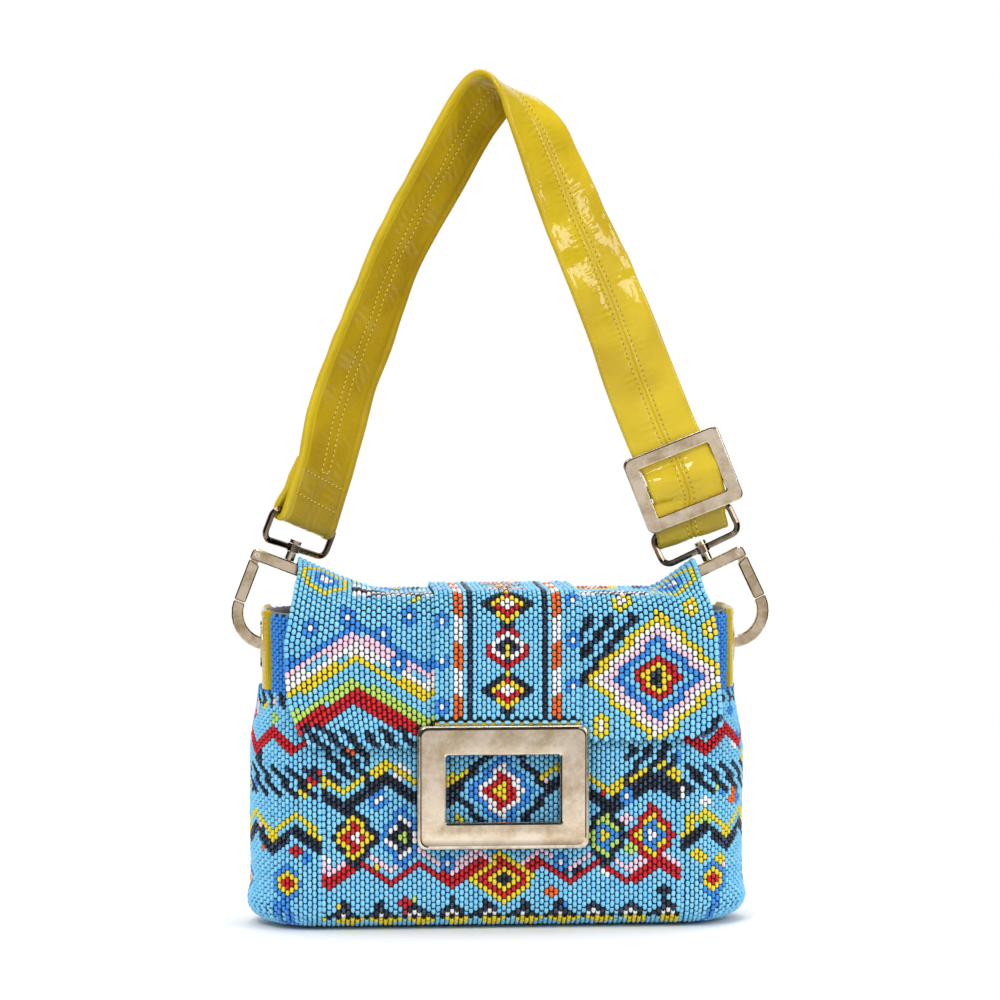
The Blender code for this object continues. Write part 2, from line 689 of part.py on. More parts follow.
def solid_turned(name, profile, matrix):
    """A solid of revolution whose open profile starts and ends on the axis."""
    mesh = bpy.data.meshes.new(name)
    edges = [(i, i + 1) for i in range(len(profile) - 1)]
    mesh.from_pydata([(r, 0, z) for r, z in profile], edges, [])
    obj = new_object(name, mesh, matrix=matrix)
    screw = obj.modifiers.new("Turn", "SCREW")
    screw.steps = ROUND_STEPS
    screw.render_steps = ROUND_STEPS
    screw.use_merge_vertices = True
    screw.merge_threshold = 0.00001
    return obj


def make_buckle():
    """The big rectangular frame that hangs from the flap's lower edge."""
    back = flap_front_y() - GAP
    outer = rounded_rectangle(BUCKLE_HALF_WIDTH, BUCKLE_BOTTOM, BUCKLE_TOP, BUCKLE_CORNER_RADIUS)
    window = rounded_rectangle(BUCKLE_WINDOW_HALF_WIDTH, BUCKLE_WINDOW_BOTTOM, BUCKLE_WINDOW_TOP,
                               BUCKLE_WINDOW_CORNER_RADIUS, 1)
    frame = plate("buckle_frame", [outer, window], BUCKLE_THICKNESS,
                  upright_matrix(back - BUCKLE_THICKNESS / 2))
    bevel(frame, BUCKLE_EDGE_BEVEL / 2, 2, 60)
    height = FLAP_BOTTOM + BUCKLE_SCREW_RISE
    for name, side in (("left", -1), ("right", 1)):
        origin = Vector((side * BUCKLE_SCREW_OFFSET, back, height))
        place = frame_matrix(origin, (1, 0, 0), (0, 0, 1), (0, -1, 0))
        hole = drum(name + "_buckle_hole", BUCKLE_SCREW_RADIUS + GAP, -CUT_OVERRUN,
                    BUCKLE_SCREW_DEPTH + GAP, place, cutters)
        combine(frame, hole, "DIFFERENCE")
    return plated(frame)


def hook_centre(side, shift):
    """The centre of a hook's arc, so that its bar crosses the tab at the eyelet's height."""
    rise = math.sqrt(HOOK_ARC_RADIUS ** 2 - shift ** 2)
    return Vector((side * (TAB_MIDDLE_X + shift), 0, EYELET_HEIGHT + rise))


def hook_frame(side, shift, tilt_deg):
    """Local X points away from the bag, local Y up the post, and local Z through the flat bar."""
    tilt = math.radians(tilt_deg)
    outward = Vector((side * math.cos(tilt), 0, math.sin(tilt)))
    upward = Vector((-side * math.sin(tilt), 0, math.cos(tilt)))
    return frame_matrix(hook_centre(side, shift), outward, upward, outward.cross(upward))


def make_hook(prefix, side, shift, tilt_deg):
    """The hook's body: base bar, inner arm and arc, forked at the corner for the gate."""
    place = hook_frame(side, shift, tilt_deg)
    half = HOOK_BAR_WIDTH / 2
    big = HOOK_ARC_RADIUS + half
    small = HOOK_ARC_RADIUS - half
    top = HOOK_STRAIGHT + half
    under = HOOK_STRAIGHT - half
    corner = HOOK_CORNER_RADIUS
    outline = arc((0, 0), big, 0, -180, HOOK_ARC_STEPS)
    outline += arc((-big + corner, top - corner), corner, 180, 90, 3)
    outline += arc((big - corner, top - corner), corner, 90, 0, 3)
    outline += [(big, under), (-small, under)]
    outline += arc((0, 0), small, -180, 0, HOOK_ARC_STEPS)
    body = plate(prefix + "_hook_body", [outline], HOOK_BAR_THICKNESS, place)
    bevel(body, HOOK_EDGE_BEVEL, 1, 60)
    slot_half = GATE_TONGUE_THICKNESS / 2 + GATE_TONGUE_GAP
    slot_in = HOOK_ARC_RADIUS - 2 * GATE_TONGUE_HALF_WIDTH
    slot = block(prefix + "_gate_slot", (slot_in, under - CUT_OVERRUN, -slot_half),
                 (big + CUT_OVERRUN, top + CUT_OVERRUN, slot_half), place, cutters)
    combine(body, slot, "DIFFERENCE")
    pivot = place @ Matrix.Translation((HOOK_ARC_RADIUS, HOOK_STRAIGHT, 0))
    reach = HOOK_BAR_THICKNESS / 2 + CUT_OVERRUN
    pin_hole = drum(prefix + "_pin_hole", GATE_PIN_RADIUS + GAP, -reach, reach, pivot, cutters)
    combine(body, pin_hole, "DIFFERENCE")
    along_post = place @ Matrix.Rotation(math.radians(-90), 4, "X")
    spigot = drum(prefix + "_spigot_hole", POST_PIN_RADIUS + GAP, top - POST_SPIGOT_DEPTH - GAP,
                  top + CUT_OVERRUN, along_post, cutters)
    combine(body, spigot, "DIFFERENCE")
    plated(body)
    make_gate(prefix, pivot, pin_hole)
    make_post(prefix, along_post, top)
    return place


def make_gate(prefix, pivot, pin_hole):
    """The sprung arm between the corner pin and the nose. Its origin is the pin."""
    half = HOOK_BAR_WIDTH / 2
    opening = math.radians(GATE_OPENING_DEG)
    inner_top = -(half * (1 + math.sin(opening)) + RUNNING_GAP) / math.cos(opening)
    outer_top = -half - GAP
    nose = -HOOK_STRAIGHT + GATE_NOSE_GAP
    outline = [(-half, nose), (half, nose), (half, outer_top), (-half, inner_top)]
    gate = plate(prefix + "_gate", [outline], HOOK_BAR_THICKNESS, pivot)
    bevel(gate, HOOK_EDGE_BEVEL, 1, 60)
    tongue_half = GATE_TONGUE_HALF_WIDTH
    tongue_outline = arc((0, 0), tongue_half, 0, 180, ARC_STEPS)
    tongue_outline += [(-tongue_half, inner_top - half), (tongue_half, inner_top - half)]
    tongue = plate(prefix + "_gate_tongue", [tongue_outline], GATE_TONGUE_THICKNESS, pivot, cutters)
    combine(gate, tongue, "UNION")
    combine(gate, pin_hole, "DIFFERENCE")
    plated(gate)
    reach = HOOK_BAR_THICKNESS / 2
    plated(drum(prefix + "_gate_pin", GATE_PIN_RADIUS, -reach, reach, pivot))


def ring_height():
    """The height of a ring's bottom bar above the centre of its hook's arc."""
    return HOOK_STRAIGHT + HOOK_BAR_WIDTH / 2 + GAP + POST_HEIGHT + GAP + RING_BOSS_HALF_HEIGHT


def make_post(prefix, place, base):
    """The swivel post: a spigot in the base bar, a shoulder, a pin through the ring, a rivet head."""
    low = base + GAP
    shoulder = low + POST_HEIGHT
    boss_top = shoulder + GAP + 2 * RING_BOSS_HALF_HEIGHT
    head = boss_top + GAP
    profile = [
        (0, head + RIVET_THICKNESS),
        (RIVET_RADIUS, head + RIVET_THICKNESS),
        (RIVET_RADIUS, head),
        (POST_PIN_RADIUS, head),
        (POST_PIN_RADIUS, shoulder),
        (POST_RADIUS, shoulder),
        (POST_RADIUS, low),
        (POST_PIN_RADIUS, low),
        (POST_PIN_RADIUS, base - POST_SPIGOT_DEPTH),
        (0, base - POST_SPIGOT_DEPTH),
    ]
    plated(solid_turned(prefix + "_swivel_post", profile, place))


def ring_frame(hook, turn_deg):
    """The ring's own frame: local X across, local Y up the strap, turned about the post."""
    lifted = hook @ Matrix.Translation((0, ring_height(), 0))
    return lifted @ Matrix.Rotation(math.radians(turn_deg), 4, "Y")


def make_ring(prefix, place):
    """A rounded wire ring with a drilled boss on its bottom bar for the swivel post."""
    outline = rounded_rectangle(RING_HALF_WIDTH, 0, RING_HEIGHT, RING_CORNER_RADIUS, 5)
    ring = wire(prefix + "_ring", [(x, y, 0) for x, y in outline], RING_WIRE_RADIUS, True, place)
    along = place @ Matrix.Rotation(math.radians(-90), 4, "X")
    boss = drum(prefix + "_ring_boss", RING_BOSS_RADIUS, -RING_BOSS_HALF_HEIGHT,
                RING_BOSS_HALF_HEIGHT, along, cutters)
    combine(ring, boss, "UNION")
    reach = RING_BOSS_HALF_HEIGHT + CUT_OVERRUN
    bore = drum(prefix + "_ring_bore", POST_PIN_RADIUS + GAP, -reach, reach, along, cutters)
    combine(ring, bore, "DIFFERENCE")
    darkened(ring)


def smooth(share):
    share = min(1.0, max(0.0, share))
    return share * share * (3 - 2 * share)


def main_offset():
    """How far the strap's main layer lies from the middle of a ring's top bar."""
    return RING_WIRE_RADIUS + RUNNING_GAP + STRAP_THICKNESS / 2


def fold_offset(height):
    """The folded layer's place on the main layer's side, at a height above the ring's top bar."""
    wide = main_offset()
    travel = 2 * wide - STRAP_THICKNESS - GAP
    return -wide + travel * smooth(height / STRAP_CONVERGE)


def fold_stations(place, heights_down, heights_up, main_first):
    """Positions and width directions of the strap down, round a ring's top bar and up again.

    Local Z of the ring points to the main layer. Main first says which of the layers comes down.
    """
    bar = ring_bar(place)
    across, up, out = axes_of(place)
    wide = main_offset()
    stations = []
    for height in heights_down:
        offset = wide if main_first else fold_offset(height)
        stations.append((bar + up * height + out * offset, across))
    start = out if main_first else -out
    for i in range(LOOP_STEPS + 1):
        angle = math.pi * i / LOOP_STEPS
        stations.append((bar + (start * math.cos(angle) - up * math.sin(angle)) * wide, across))
    for height in heights_up:
        offset = fold_offset(height) if main_first else wide
        stations.append((bar + up * height + out * offset, across))
    return stations


def axes_of(place):
    """The unit axes of a frame in the world."""
    turn = place.to_3x3()
    return [(turn @ Vector(axis)).normalized() for axis in ((1, 0, 0), (0, 1, 0), (0, 0, 1))]


def spline(points, steps):
    """Catmull-Rom points through a list of tuples, without the first and the last."""
    out = []
    for i in range(1, len(points) - 2):
        before, start, end, after = points[i - 1:i + 3]
        for j in range(steps):
            t = j / steps
            value = []
            for b, s, e, a in zip(before, start, end, after):
                value.append(s + t * (e - b) / 2 + t * t * (b - 2.5 * s + 2 * e - a / 2)
                             + t ** 3 * (-b / 2 + 1.5 * s - 1.5 * e + a / 2))
            out.append(tuple(value))
    out.append(points[-2])
    return out


def ring_bar(place):
    """The middle of a ring's top bar."""
    return place @ Vector((0, RING_HEIGHT, 0))


def slider_frame(right):
    """Local X across the strap, local Y up it, local Z to the front, centred in the strap."""
    tilt = math.radians(STRAP_LEG_TILT_DEG)
    up = Vector((-math.sin(tilt), 0, math.cos(tilt)))
    across = Vector((math.cos(tilt), 0, math.sin(tilt)))
    middle = ring_bar(right) + up * SLIDER_RISE + across * SLIDER_SHIFT
    middle.y -= main_offset()
    return frame_matrix(middle, across, up, across.cross(up))


def arch_stations(left, right, slider):
    """The free arch of the strap, from above the left fold to the slider."""
    start = ring_bar(left)
    end = ring_bar(right)
    base = (start.z + end.z) / 2
    rise = STRAP_CREST_HEIGHT - base
    leg = rise * STRAP_LEG_SHARE
    lead = left @ Vector((0, RING_HEIGHT + STRAP_TAB_LENGTH, main_offset()))
    low = left @ Vector((0, RING_HEIGHT + STRAP_CONVERGE, main_offset()))
    flat = slider @ Vector((0, 3 * leg / 4, 0))
    slide = slider @ Vector((0, leg, 0))
    points = [(low.x, low.y, low.z, LEFT_RING_TURN_DEG), (lead.x, lead.y, lead.z, LEFT_RING_TURN_DEG)]
    for x_share, z_share, turn in STRAP_ROUTE_SHARES:
        y = lead.y + (flat.y - lead.y) * x_share
        points.append((start.x + (end.x - start.x) * x_share, y, base + rise * z_share, turn))
    points += [(slide.x, slide.y, slide.z, 170.0), (flat.x, flat.y, flat.z, 180.0)]
    middle = slider @ Vector((0, 0, 0))
    points.append((middle.x, middle.y, middle.z, 180.0))
    route = spline(points, ROUTE_STEPS)
    stations = []
    for i, (x, y, z, turn) in enumerate(route):
        before = route[max(0, i - 1)]
        after = route[min(len(route) - 1, i + 1)]
        along = Vector((after[0] - before[0], 0, after[2] - before[2])).normalized()
        sideways = Vector((along.z, 0, -along.x))
        angle = math.radians(turn)
        across = sideways * math.cos(angle) + Vector((0, 1, 0)) * math.sin(angle)
        stations.append((Vector((x, y, z)), across))
    return stations


def ribbon(name, stations, width, thickness, edge, origin):
    """A flat strap through stations of position and width direction."""
    rows = []
    for place, across in stations:
        half = across * width / 2
        rows.append([tuple(place - half - origin), tuple(place + half - origin)])
    obj = sheet(name, rows, thickness, 0, Matrix.Translation(origin))
    bevel(obj, edge, 1, 60)
    return obj


def make_strap(left, right, slider):
    """One strap: folded round the left ring, over the shoulder, and round the right ring."""
    tab = [STRAP_TAB_LENGTH, (STRAP_TAB_LENGTH + STRAP_CONVERGE) / 2, STRAP_CONVERGE,
           STRAP_CONVERGE * 2 / 3, STRAP_CONVERGE / 3]
    up = [STRAP_CONVERGE / 3, STRAP_CONVERGE * 2 / 3, STRAP_CONVERGE]
    stations = fold_stations(left, tab, up, False)
    stations += arch_stations(left, right, slider)
    stations.append((slider @ Vector((0, 0, 0)), axes_of(slider)[0]))
    stations += fold_stations(right, up[::-1], up, True)
    origin = Vector((0, 0, EYELET_HEIGHT))
    patent(ribbon("strap", stations, STRAP_WIDTH, STRAP_THICKNESS, STRAP_EDGE_BEVEL, origin))


def make_slider(slider, right):
    """The slider frame, its hidden bar, and the strap's end looped and stitched round the bar."""
    face = STRAP_THICKNESS / 2 + GAP
    outer = rounded_rectangle(SLIDER_HALF_WIDTH, -SLIDER_HALF_HEIGHT, SLIDER_HALF_HEIGHT,
                              SLIDER_CORNER_RADIUS)
    window = rounded_rectangle(SLIDER_WINDOW_HALF_WIDTH, -SLIDER_WINDOW_HALF_HEIGHT,
                               SLIDER_WINDOW_HALF_HEIGHT, SLIDER_WINDOW_CORNER_RADIUS, 2)
    place = slider @ Matrix.Translation((0, 0, face + SLIDER_THICKNESS / 2))
    frame = plate("slider_frame", [outer, window], SLIDER_THICKNESS, place)
    bevel(frame, SLIDER_EDGE_BEVEL, 1, 60)
    plated(frame)
    half = END_LOOP_THICKNESS / 2
    reach = SLIDER_BAR_RADIUS + GAP + half
    depth = face + half + reach
    x = SLIDER_BAR_HALF_WIDTH
    turn = 2 * SLIDER_BAR_RADIUS
    path = [(-x, 0, face - GAP), (-x, 0, -depth + turn)]
    path += [(-x + turn - turn * math.cos(a), 0, -depth + turn - turn * math.sin(a))
             for a in (math.pi / 6, math.pi / 3, math.pi / 2)]
    mirrored = [(-px, py, pz) for px, py, pz in reversed(path)]
    plated(wire("slider_bar", path + mirrored, SLIDER_BAR_RADIUS, False, slider))
    bar = slider @ Vector((0, 0, -depth))
    across, up, out = axes_of(slider)
    start = RING_HEIGHT + STRAP_CONVERGE + END_LOOP_THICKNESS / 2 + GAP
    join = right @ Vector((0, start, fold_offset(STRAP_CONVERGE)))
    stations = [(join, axes_of(right)[0]), (join + up * END_LOOP_THICKNESS / 2, across)]
    stations.append((bar - up * END_LOOP_TAIL - out * reach, across))
    for i in range(LOOP_STEPS + 1):
        angle = math.pi * i / LOOP_STEPS
        stations.append((bar - out * reach * math.cos(angle) + up * reach * math.sin(angle), across))
    stations.append((bar - up * END_LOOP_TAIL + out * reach, across))
    origin = slider @ Vector((0, 0, 0))
    patent(ribbon("strap_end_loop", stations, STRAP_WIDTH, END_LOOP_THICKNESS,
                  STRAP_EDGE_BEVEL / 2, origin))


def main():
    clear_scene()
    make_panels()
    make_gusset("left_gusset", -1)
    make_gusset("right_gusset", 1)
    make_lining()
    make_side_tab("left", -1)
    make_side_tab("right", 1)
    make_flap_top()
    make_flap_front()
    make_buckle()
    left_hook = make_hook("left", -1, LEFT_HOOK_SHIFT, LEFT_HOOK_TILT_DEG)
    right_hook = make_hook("right", 1, RIGHT_HOOK_SHIFT, RIGHT_HOOK_TILT_DEG)
    flip = 180
    left_ring = ring_frame(left_hook, flip + LEFT_RING_TURN_DEG)
    right_ring = ring_frame(right_hook, 0)
    make_ring("left", left_ring)
    make_ring("right", right_ring)
    slider = slider_frame(right_ring)
    make_strap(left_ring, right_ring, slider)
    make_slider(slider, right_ring)


main()
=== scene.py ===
import math

import bmesh
import bpy
import numpy as np
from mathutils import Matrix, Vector


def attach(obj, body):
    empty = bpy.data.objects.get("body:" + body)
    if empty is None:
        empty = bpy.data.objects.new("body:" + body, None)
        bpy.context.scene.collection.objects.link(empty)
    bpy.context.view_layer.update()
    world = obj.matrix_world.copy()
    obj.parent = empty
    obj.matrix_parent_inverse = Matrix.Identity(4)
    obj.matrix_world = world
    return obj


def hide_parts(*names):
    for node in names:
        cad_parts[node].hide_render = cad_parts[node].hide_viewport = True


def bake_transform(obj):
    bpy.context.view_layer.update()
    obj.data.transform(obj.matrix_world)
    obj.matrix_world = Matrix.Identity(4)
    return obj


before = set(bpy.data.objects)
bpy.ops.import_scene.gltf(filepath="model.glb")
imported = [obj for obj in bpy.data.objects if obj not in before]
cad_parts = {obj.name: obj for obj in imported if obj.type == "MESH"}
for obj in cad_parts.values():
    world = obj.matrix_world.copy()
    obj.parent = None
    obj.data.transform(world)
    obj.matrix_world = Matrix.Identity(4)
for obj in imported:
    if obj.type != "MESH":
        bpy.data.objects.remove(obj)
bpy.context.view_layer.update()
rng = np.random.default_rng(21)


# Camera and light

view = {"azimuth": -4.0, "elevation": 2.6, "distance": 1.8, "aim": (0.0015, 0.0, 0.2147), "field": 0.51,
        "sensor": 36.0}
lampTarget = Vector((0, 0, 0.18))
lamps = {
    "key": {"place": (-0.7, -1.5, 1.7), "size": (0.55, 0.55), "power": 15.0},
    "fill": {"place": (1.4, -1.1, 1.0), "size": (0.35, 0.9), "power": 8.0},
    "top": {"place": (0.1, 0.2, 1.7), "size": (1.0, 0.8), "power": 9.0},
}
floorLook = {"radius": 1.6, "fade": (0.30, 0.75, 0, 1), "colour": (0.93, 0.93, 0.93), "height": -0.0007,
             "points": 64}
# spans are read from, read to, given from, given to
worldLook = {"seen": 1.0, "light": (-0.7, 0.8, 0.42, 0.92), "card": (0.60, 0.90, 0.04, 1.0),
             "ceiling": (0.86, 0.95, 0.02, 1.3)}


def link(obj):
    # puts a new object in the scene
    bpy.context.scene.collection.objects.link(obj)
    obj.rotation_mode = "QUATERNION"
    return obj


def makeCamera():
    # stands back from the aim along the direction that azimuth and elevation give
    a = math.radians(view["azimuth"])
    e = math.radians(view["elevation"])
    back = Vector((math.sin(a) * math.cos(e), -math.cos(a) * math.cos(e), math.sin(e)))
    data = bpy.data.cameras.new("camera")
    data.sensor_width = view["sensor"]
    data.lens = data.sensor_width * view["distance"] / view["field"]
    camera = link(bpy.data.objects.new("camera", data))
    camera.location = Vector(view["aim"]) + back * view["distance"]
    camera.rotation_quaternion = (-back).to_track_quat("-Z", "Y")
    bpy.context.scene.camera = camera


def makeLamps():
    # area lamps that face one point of the bag
    for name, lamp in lamps.items():
        data = bpy.data.lights.new(name, "AREA")
        data.shape = "RECTANGLE"
        data.size, data.size_y = lamp["size"]
        data.energy = lamp["power"]
        light = link(bpy.data.objects.new(name, data))
        light.location = lamp["place"]
        light.rotation_quaternion = (lampTarget - light.location).to_track_quat("-Z", "Y")


def wired(nodes, links, kind, sources, operation=None, out=0):
    # adds a shader node, feeds its inputs from the sources by their names or places, and gives its output
    node = nodes.new("ShaderNode" + kind)
    if operation:
        node.operation = operation
    for name, source in sources.items():
        links.new(source, node.inputs[name])
    return None if out is None else node.outputs[out]


def mapped(nodes, links, source, span, smooth=False):
    # the source carried from one span of values to another
    node = nodes.new("ShaderNodeMapRange")
    if smooth:
        node.interpolation_type = "SMOOTHSTEP"
    for name, value in zip(("From Min", "From Max", "To Min", "To Max"), span):
        node.inputs[name].default_value = value
    links.new(source, node.inputs["Value"])
    return node.outputs[0]


def objectPlace(nodes):
    # the object's own coordinates
    return nodes.new("ShaderNodeTexCoord").outputs["Object"]


def makeWorld():
    # white to the camera, soft as light, and in reflections bright ahead and behind but dark at the sides
    world = bpy.data.worlds.new("studio")
    bpy.context.scene.world = world
    world.use_nodes = True
    nodes, links = world.node_tree.nodes, world.node_tree.links
    nodes.clear()
    path = nodes.new("ShaderNodeLightPath").outputs
    seen = wired(nodes, links, "Math", {0: path["Is Camera Ray"], 1: path["Is Transmission Ray"]}, "MAXIMUM")
    place = nodes.new("ShaderNodeTexCoord").outputs["Generated"]
    parts = nodes.new("ShaderNodeSeparateXYZ")
    links.new(place, parts.inputs[0])
    depth = wired(nodes, links, "Math", {0: parts.outputs["Y"]}, "ABSOLUTE")
    card = mapped(nodes, links, depth, worldLook["card"], True)
    ceiling = mapped(nodes, links, parts.outputs["Z"], worldLook["ceiling"], True)
    mirror = wired(nodes, links, "Math", {0: card, 1: ceiling}, "MAXIMUM")
    light = mapped(nodes, links, parts.outputs["Z"], worldLook["light"])
    soft = wired(nodes, links, "Mix", {"A": light, "Factor": path["Is Glossy Ray"], "B": mirror})
    strength = nodes.new("ShaderNodeMix")
    strength.inputs["B"].default_value = worldLook["seen"]
    links.new(seen, strength.inputs["Factor"])
    links.new(soft, strength.inputs["A"])
    background = nodes.new("ShaderNodeBackground")
    background.inputs["Color"].default_value = (1, 1, 1, 1)
    links.new(strength.outputs["Result"], background.inputs["Strength"])
    wired(nodes, links, "OutputWorld", {"Surface": background.outputs[0]}, out=None)
    bpy.context.scene.view_settings.view_transform = "Standard"


def makeFloor():
    # a disc of floor whose edge fades into the white background
    count, radius = floorLook["points"], floorLook["radius"]
    angle = np.linspace(0, 2 * np.pi, count, endpoint=False)
    rim = np.stack([np.cos(angle) * radius, np.sin(angle) * radius, np.zeros(count)], 1)
    mesh = bpy.data.meshes.new("floor")
    mesh.from_pydata(rim.tolist(), [], [list(range(count))])
    floor = link(bpy.data.objects.new("floor", mesh))
    floor.location.z = floorLook["height"]
    material = bpy.data.materials.new("floor")
    material.use_nodes = True
    nodes, links = material.node_tree.nodes, material.node_tree.links
    nodes.clear()
    away = wired(nodes, links, "VectorMath", {0: objectPlace(nodes)}, "LENGTH", "Value")
    fade = mapped(nodes, links, away, floorLook["fade"], True)
    diffuse = nodes.new("ShaderNodeBsdfDiffuse")
    diffuse.inputs["Color"].default_value = (*floorLook["colour"], 1)
    clear = nodes.new("ShaderNodeBsdfTransparent")
    mix = wired(nodes, links, "MixShader", {"Fac": fade, 1: diffuse.outputs[0], 2: clear.outputs[0]})
    wired(nodes, links, "OutputMaterial", {"Surface": mix}, out=None)
    mesh.materials.append(material)


# Materials

def newMaterial(name, values):
    # a material whose own shader gets the values; gives the material, its nodes, its links and the shader
    material = bpy.data.materials.new(name)
    material.use_nodes = True
    shader = material.node_tree.nodes["Principled BSDF"]
    for key, value in values.items():
        shader.inputs[key].default_value = (*value, 1) if isinstance(value, tuple) else value
    return material, material.node_tree.nodes, material.node_tree.links, shader


def noiseAt(nodes, links, scale, detail=3.0, rough=0.5):
    # noise on the object's own coordinates
    noise = nodes.new("ShaderNodeTexNoise")
    for name, value in (("Scale", scale), ("Detail", detail), ("Roughness", rough)):
        noise.inputs[name].default_value = value
    links.new(objectPlace(nodes), noise.inputs["Vector"])
    return noise.outputs["Fac"]


def ramp(nodes, links, source, low, lowColour, high, highColour):
    # two colours, one up to the low value of the source and the other from the high one
    node = nodes.new("ShaderNodeValToRGB")
    for element, place, colour in zip(node.color_ramp.elements, (low, high), (lowColour, highColour)):
        element.position = place
        element.color = (*colour, 1)
    links.new(source, node.inputs["Fac"])
    return node.outputs["Color"]


def bumpFrom(nodes, links, source, strength, distance):
    # a bump on the shader from the source as a height
    bump = nodes.new("ShaderNodeBump")
    bump.inputs["Strength"].default_value = strength
    bump.inputs["Distance"].default_value = distance
    links.new(source, bump.inputs["Height"])
    links.new(bump.outputs[0], nodes["Principled BSDF"].inputs["Normal"])
    return bump.outputs[0]


beadColours = {
    "sky": ((0.190, 0.585, 0.880), 0.24, 0.0),
    "skyPale": ((0.235, 0.640, 0.910), 0.24, 0.0),
    "azure": ((0.040, 0.265, 0.760), 0.22, 0.0),
    "navy": ((0.010, 0.016, 0.034), 0.20, 0.0),
    "navyGlint": ((0.060, 0.085, 0.150), 0.26, 0.85),
    "yellow": ((0.820, 0.640, 0.020), 0.18, 0.0),
    "red": ((0.560, 0.006, 0.014), 0.18, 0.0),
    "white": ((0.850, 0.850, 0.850), 0.22, 0.0),
    "pink": ((0.860, 0.610, 0.740), 0.22, 0.0),
    "lime": ((0.490, 0.700, 0.130), 0.20, 0.0),
    "orange": ((0.830, 0.130, 0.008), 0.18, 0.0),
}
beadNames = list(beadColours)


def beadMaterials():
    # one glassy look for each bead colour, and a last dark one for the holes at the beads' ends: the dark
    # thread in them with painted shade
    made = []
    for name, (colour, roughness, metallic) in beadColours.items():
        values = {"Base Color": colour, "Roughness": roughness, "Metallic": metallic, "Coat Weight": 0.30,
                  "Coat Roughness": 0.10, "Specular IOR Level": 0.30}
        made.append(newMaterial("bead_" + name, values)[0])
    made.append(newMaterial("bead_hole", {"Base Color": (0.006, 0.008, 0.012), "Roughness": 0.7})[0])
    return made


def threadClothMaterial():
    # the dark stitched ground that shows between the beads
    material, nodes, links, shader = newMaterial("thread_ground", {"Roughness": 0.85})
    noise = noiseAt(nodes, links, 900.0)
    links.new(ramp(nodes, links, noise, 0.3, (0.008, 0.012, 0.020), 0.7, (0.020, 0.030, 0.046)),
              shader.inputs["Base Color"])
    bumpFrom(nodes, links, noise, 0.4, 0.0003)
    return material


patentLook = {
    "outer": (0.660, 0.480, 0.010),
    "deep": (0.520, 0.355, 0.006),
    "wrinkleScale": 75.0,
    "fineScale": 420.0,
    "fineShare": 0.12,
}


def paintedShadingUp(nodes, links, colour, up, *span):
    # painted light and shade: the colour times a share; span is two heights along the direction up, then the
    # share at each
    height = nodes.new("ShaderNodeVectorMath")
    height.operation = "DOT_PRODUCT"
    height.inputs[1].default_value = up
    links.new(objectPlace(nodes), height.inputs[0])
    share = mapped(nodes, links, height.outputs["Value"], span)
    return wired(nodes, links, "VectorMath", {0: colour, "Scale": share}, "SCALE")


def patentMaterial(name, shadeTint=(1, 1, 1), paintedShading=()):
    # glossy coated leather: long soft creases and a fine ripple under a clear coat
    material, nodes, links, shader = newMaterial(name, {
        "Roughness": 0.40, "Coat Weight": 0.85, "Coat Roughness": 0.03, "Coat IOR": 1.42,
        "Specular IOR Level": 0.12})
    # the shade tint darkens copies of the leather, and each painted shading lightens or darkens it along a
    # direction: painted shade and light
    deep, outer = (tuple(c * s for c, s in zip(patentLook[key], shadeTint)) for key in ("deep", "outer"))
    colour = ramp(nodes, links, noiseAt(nodes, links, 26.0, 4.0), 0.32, deep, 0.62, outer)
    for values in paintedShading:
        colour = paintedShadingUp(nodes, links, colour, *values)
    links.new(colour, shader.inputs["Base Color"])
    both = nodes.new("ShaderNodeMath")
    both.operation = "MULTIPLY_ADD"
    both.inputs[1].default_value = patentLook["fineShare"]
    links.new(noiseAt(nodes, links, patentLook["fineScale"], 2.0), both.inputs[0])
    links.new(noiseAt(nodes, links, patentLook["wrinkleScale"], 2.0), both.inputs[2])
    links.new(bumpFrom(nodes, links, both.outputs[0], 0.55, 0.0016), shader.inputs["Coat Normal"])
    return material


def metalMaterial(name, pale, dark, mottle=60.0, roughness=(0.06, 0.15), paintedShading=()):
    # plated metal with a cloudy patina and faint rubbing
    material, nodes, links, shader = newMaterial(name, {"Metallic": 1.0})
    colour = ramp(nodes, links, noiseAt(nodes, links, mottle, 12.0, 0.68), 0.38, dark, 0.58, pale)
    # painted light and shade along a direction, where given
    for values in paintedShading:
        colour = paintedShadingUp(nodes, links, colour, *values)
    links.new(colour, shader.inputs["Base Color"])
    rub = noiseAt(nodes, links, mottle * 4, 5.0)
    links.new(mapped(nodes, links, rub, (0.3, 0.7, *roughness)), shader.inputs["Roughness"])
    bumpFrom(nodes, links, rub, 0.06, 0.0004)
    return material


def clothMaterial(name, warp, weft):
    # a fine plain weave from two crossed waves
    material, nodes, links, shader = newMaterial(name, {"Roughness": 0.75, "Sheen Weight": 0.25})
    waves = {}
    for k, direction in enumerate(("X", "Z")):
        wave = nodes.new("ShaderNodeTexWave")
        wave.bands_direction = direction
        wave.inputs["Scale"].default_value = 520.0
        wave.inputs["Distortion"].default_value = 0.6
        links.new(objectPlace(nodes), wave.inputs["Vector"])
        waves[k] = wave.outputs["Fac"]
    cross = wired(nodes, links, "Math", waves, "MULTIPLY")
    links.new(ramp(nodes, links, cross, 0.1, warp, 0.8, weft), shader.inputs["Base Color"])
    bumpFrom(nodes, links, cross, 0.35, 0.0002)
    return material


def threadMaterial():
    # matt sewing thread
    material, nodes, links, shader = newMaterial("stitch_thread", {"Roughness": 0.6, "Sheen Weight": 0.2})
    noise = noiseAt(nodes, links, 2500.0)
    links.new(ramp(nodes, links, noise, 0.3, (0.60, 0.44, 0.030), 0.7, (0.80, 0.62, 0.080)),
              shader.inputs["Base Color"])
    return material


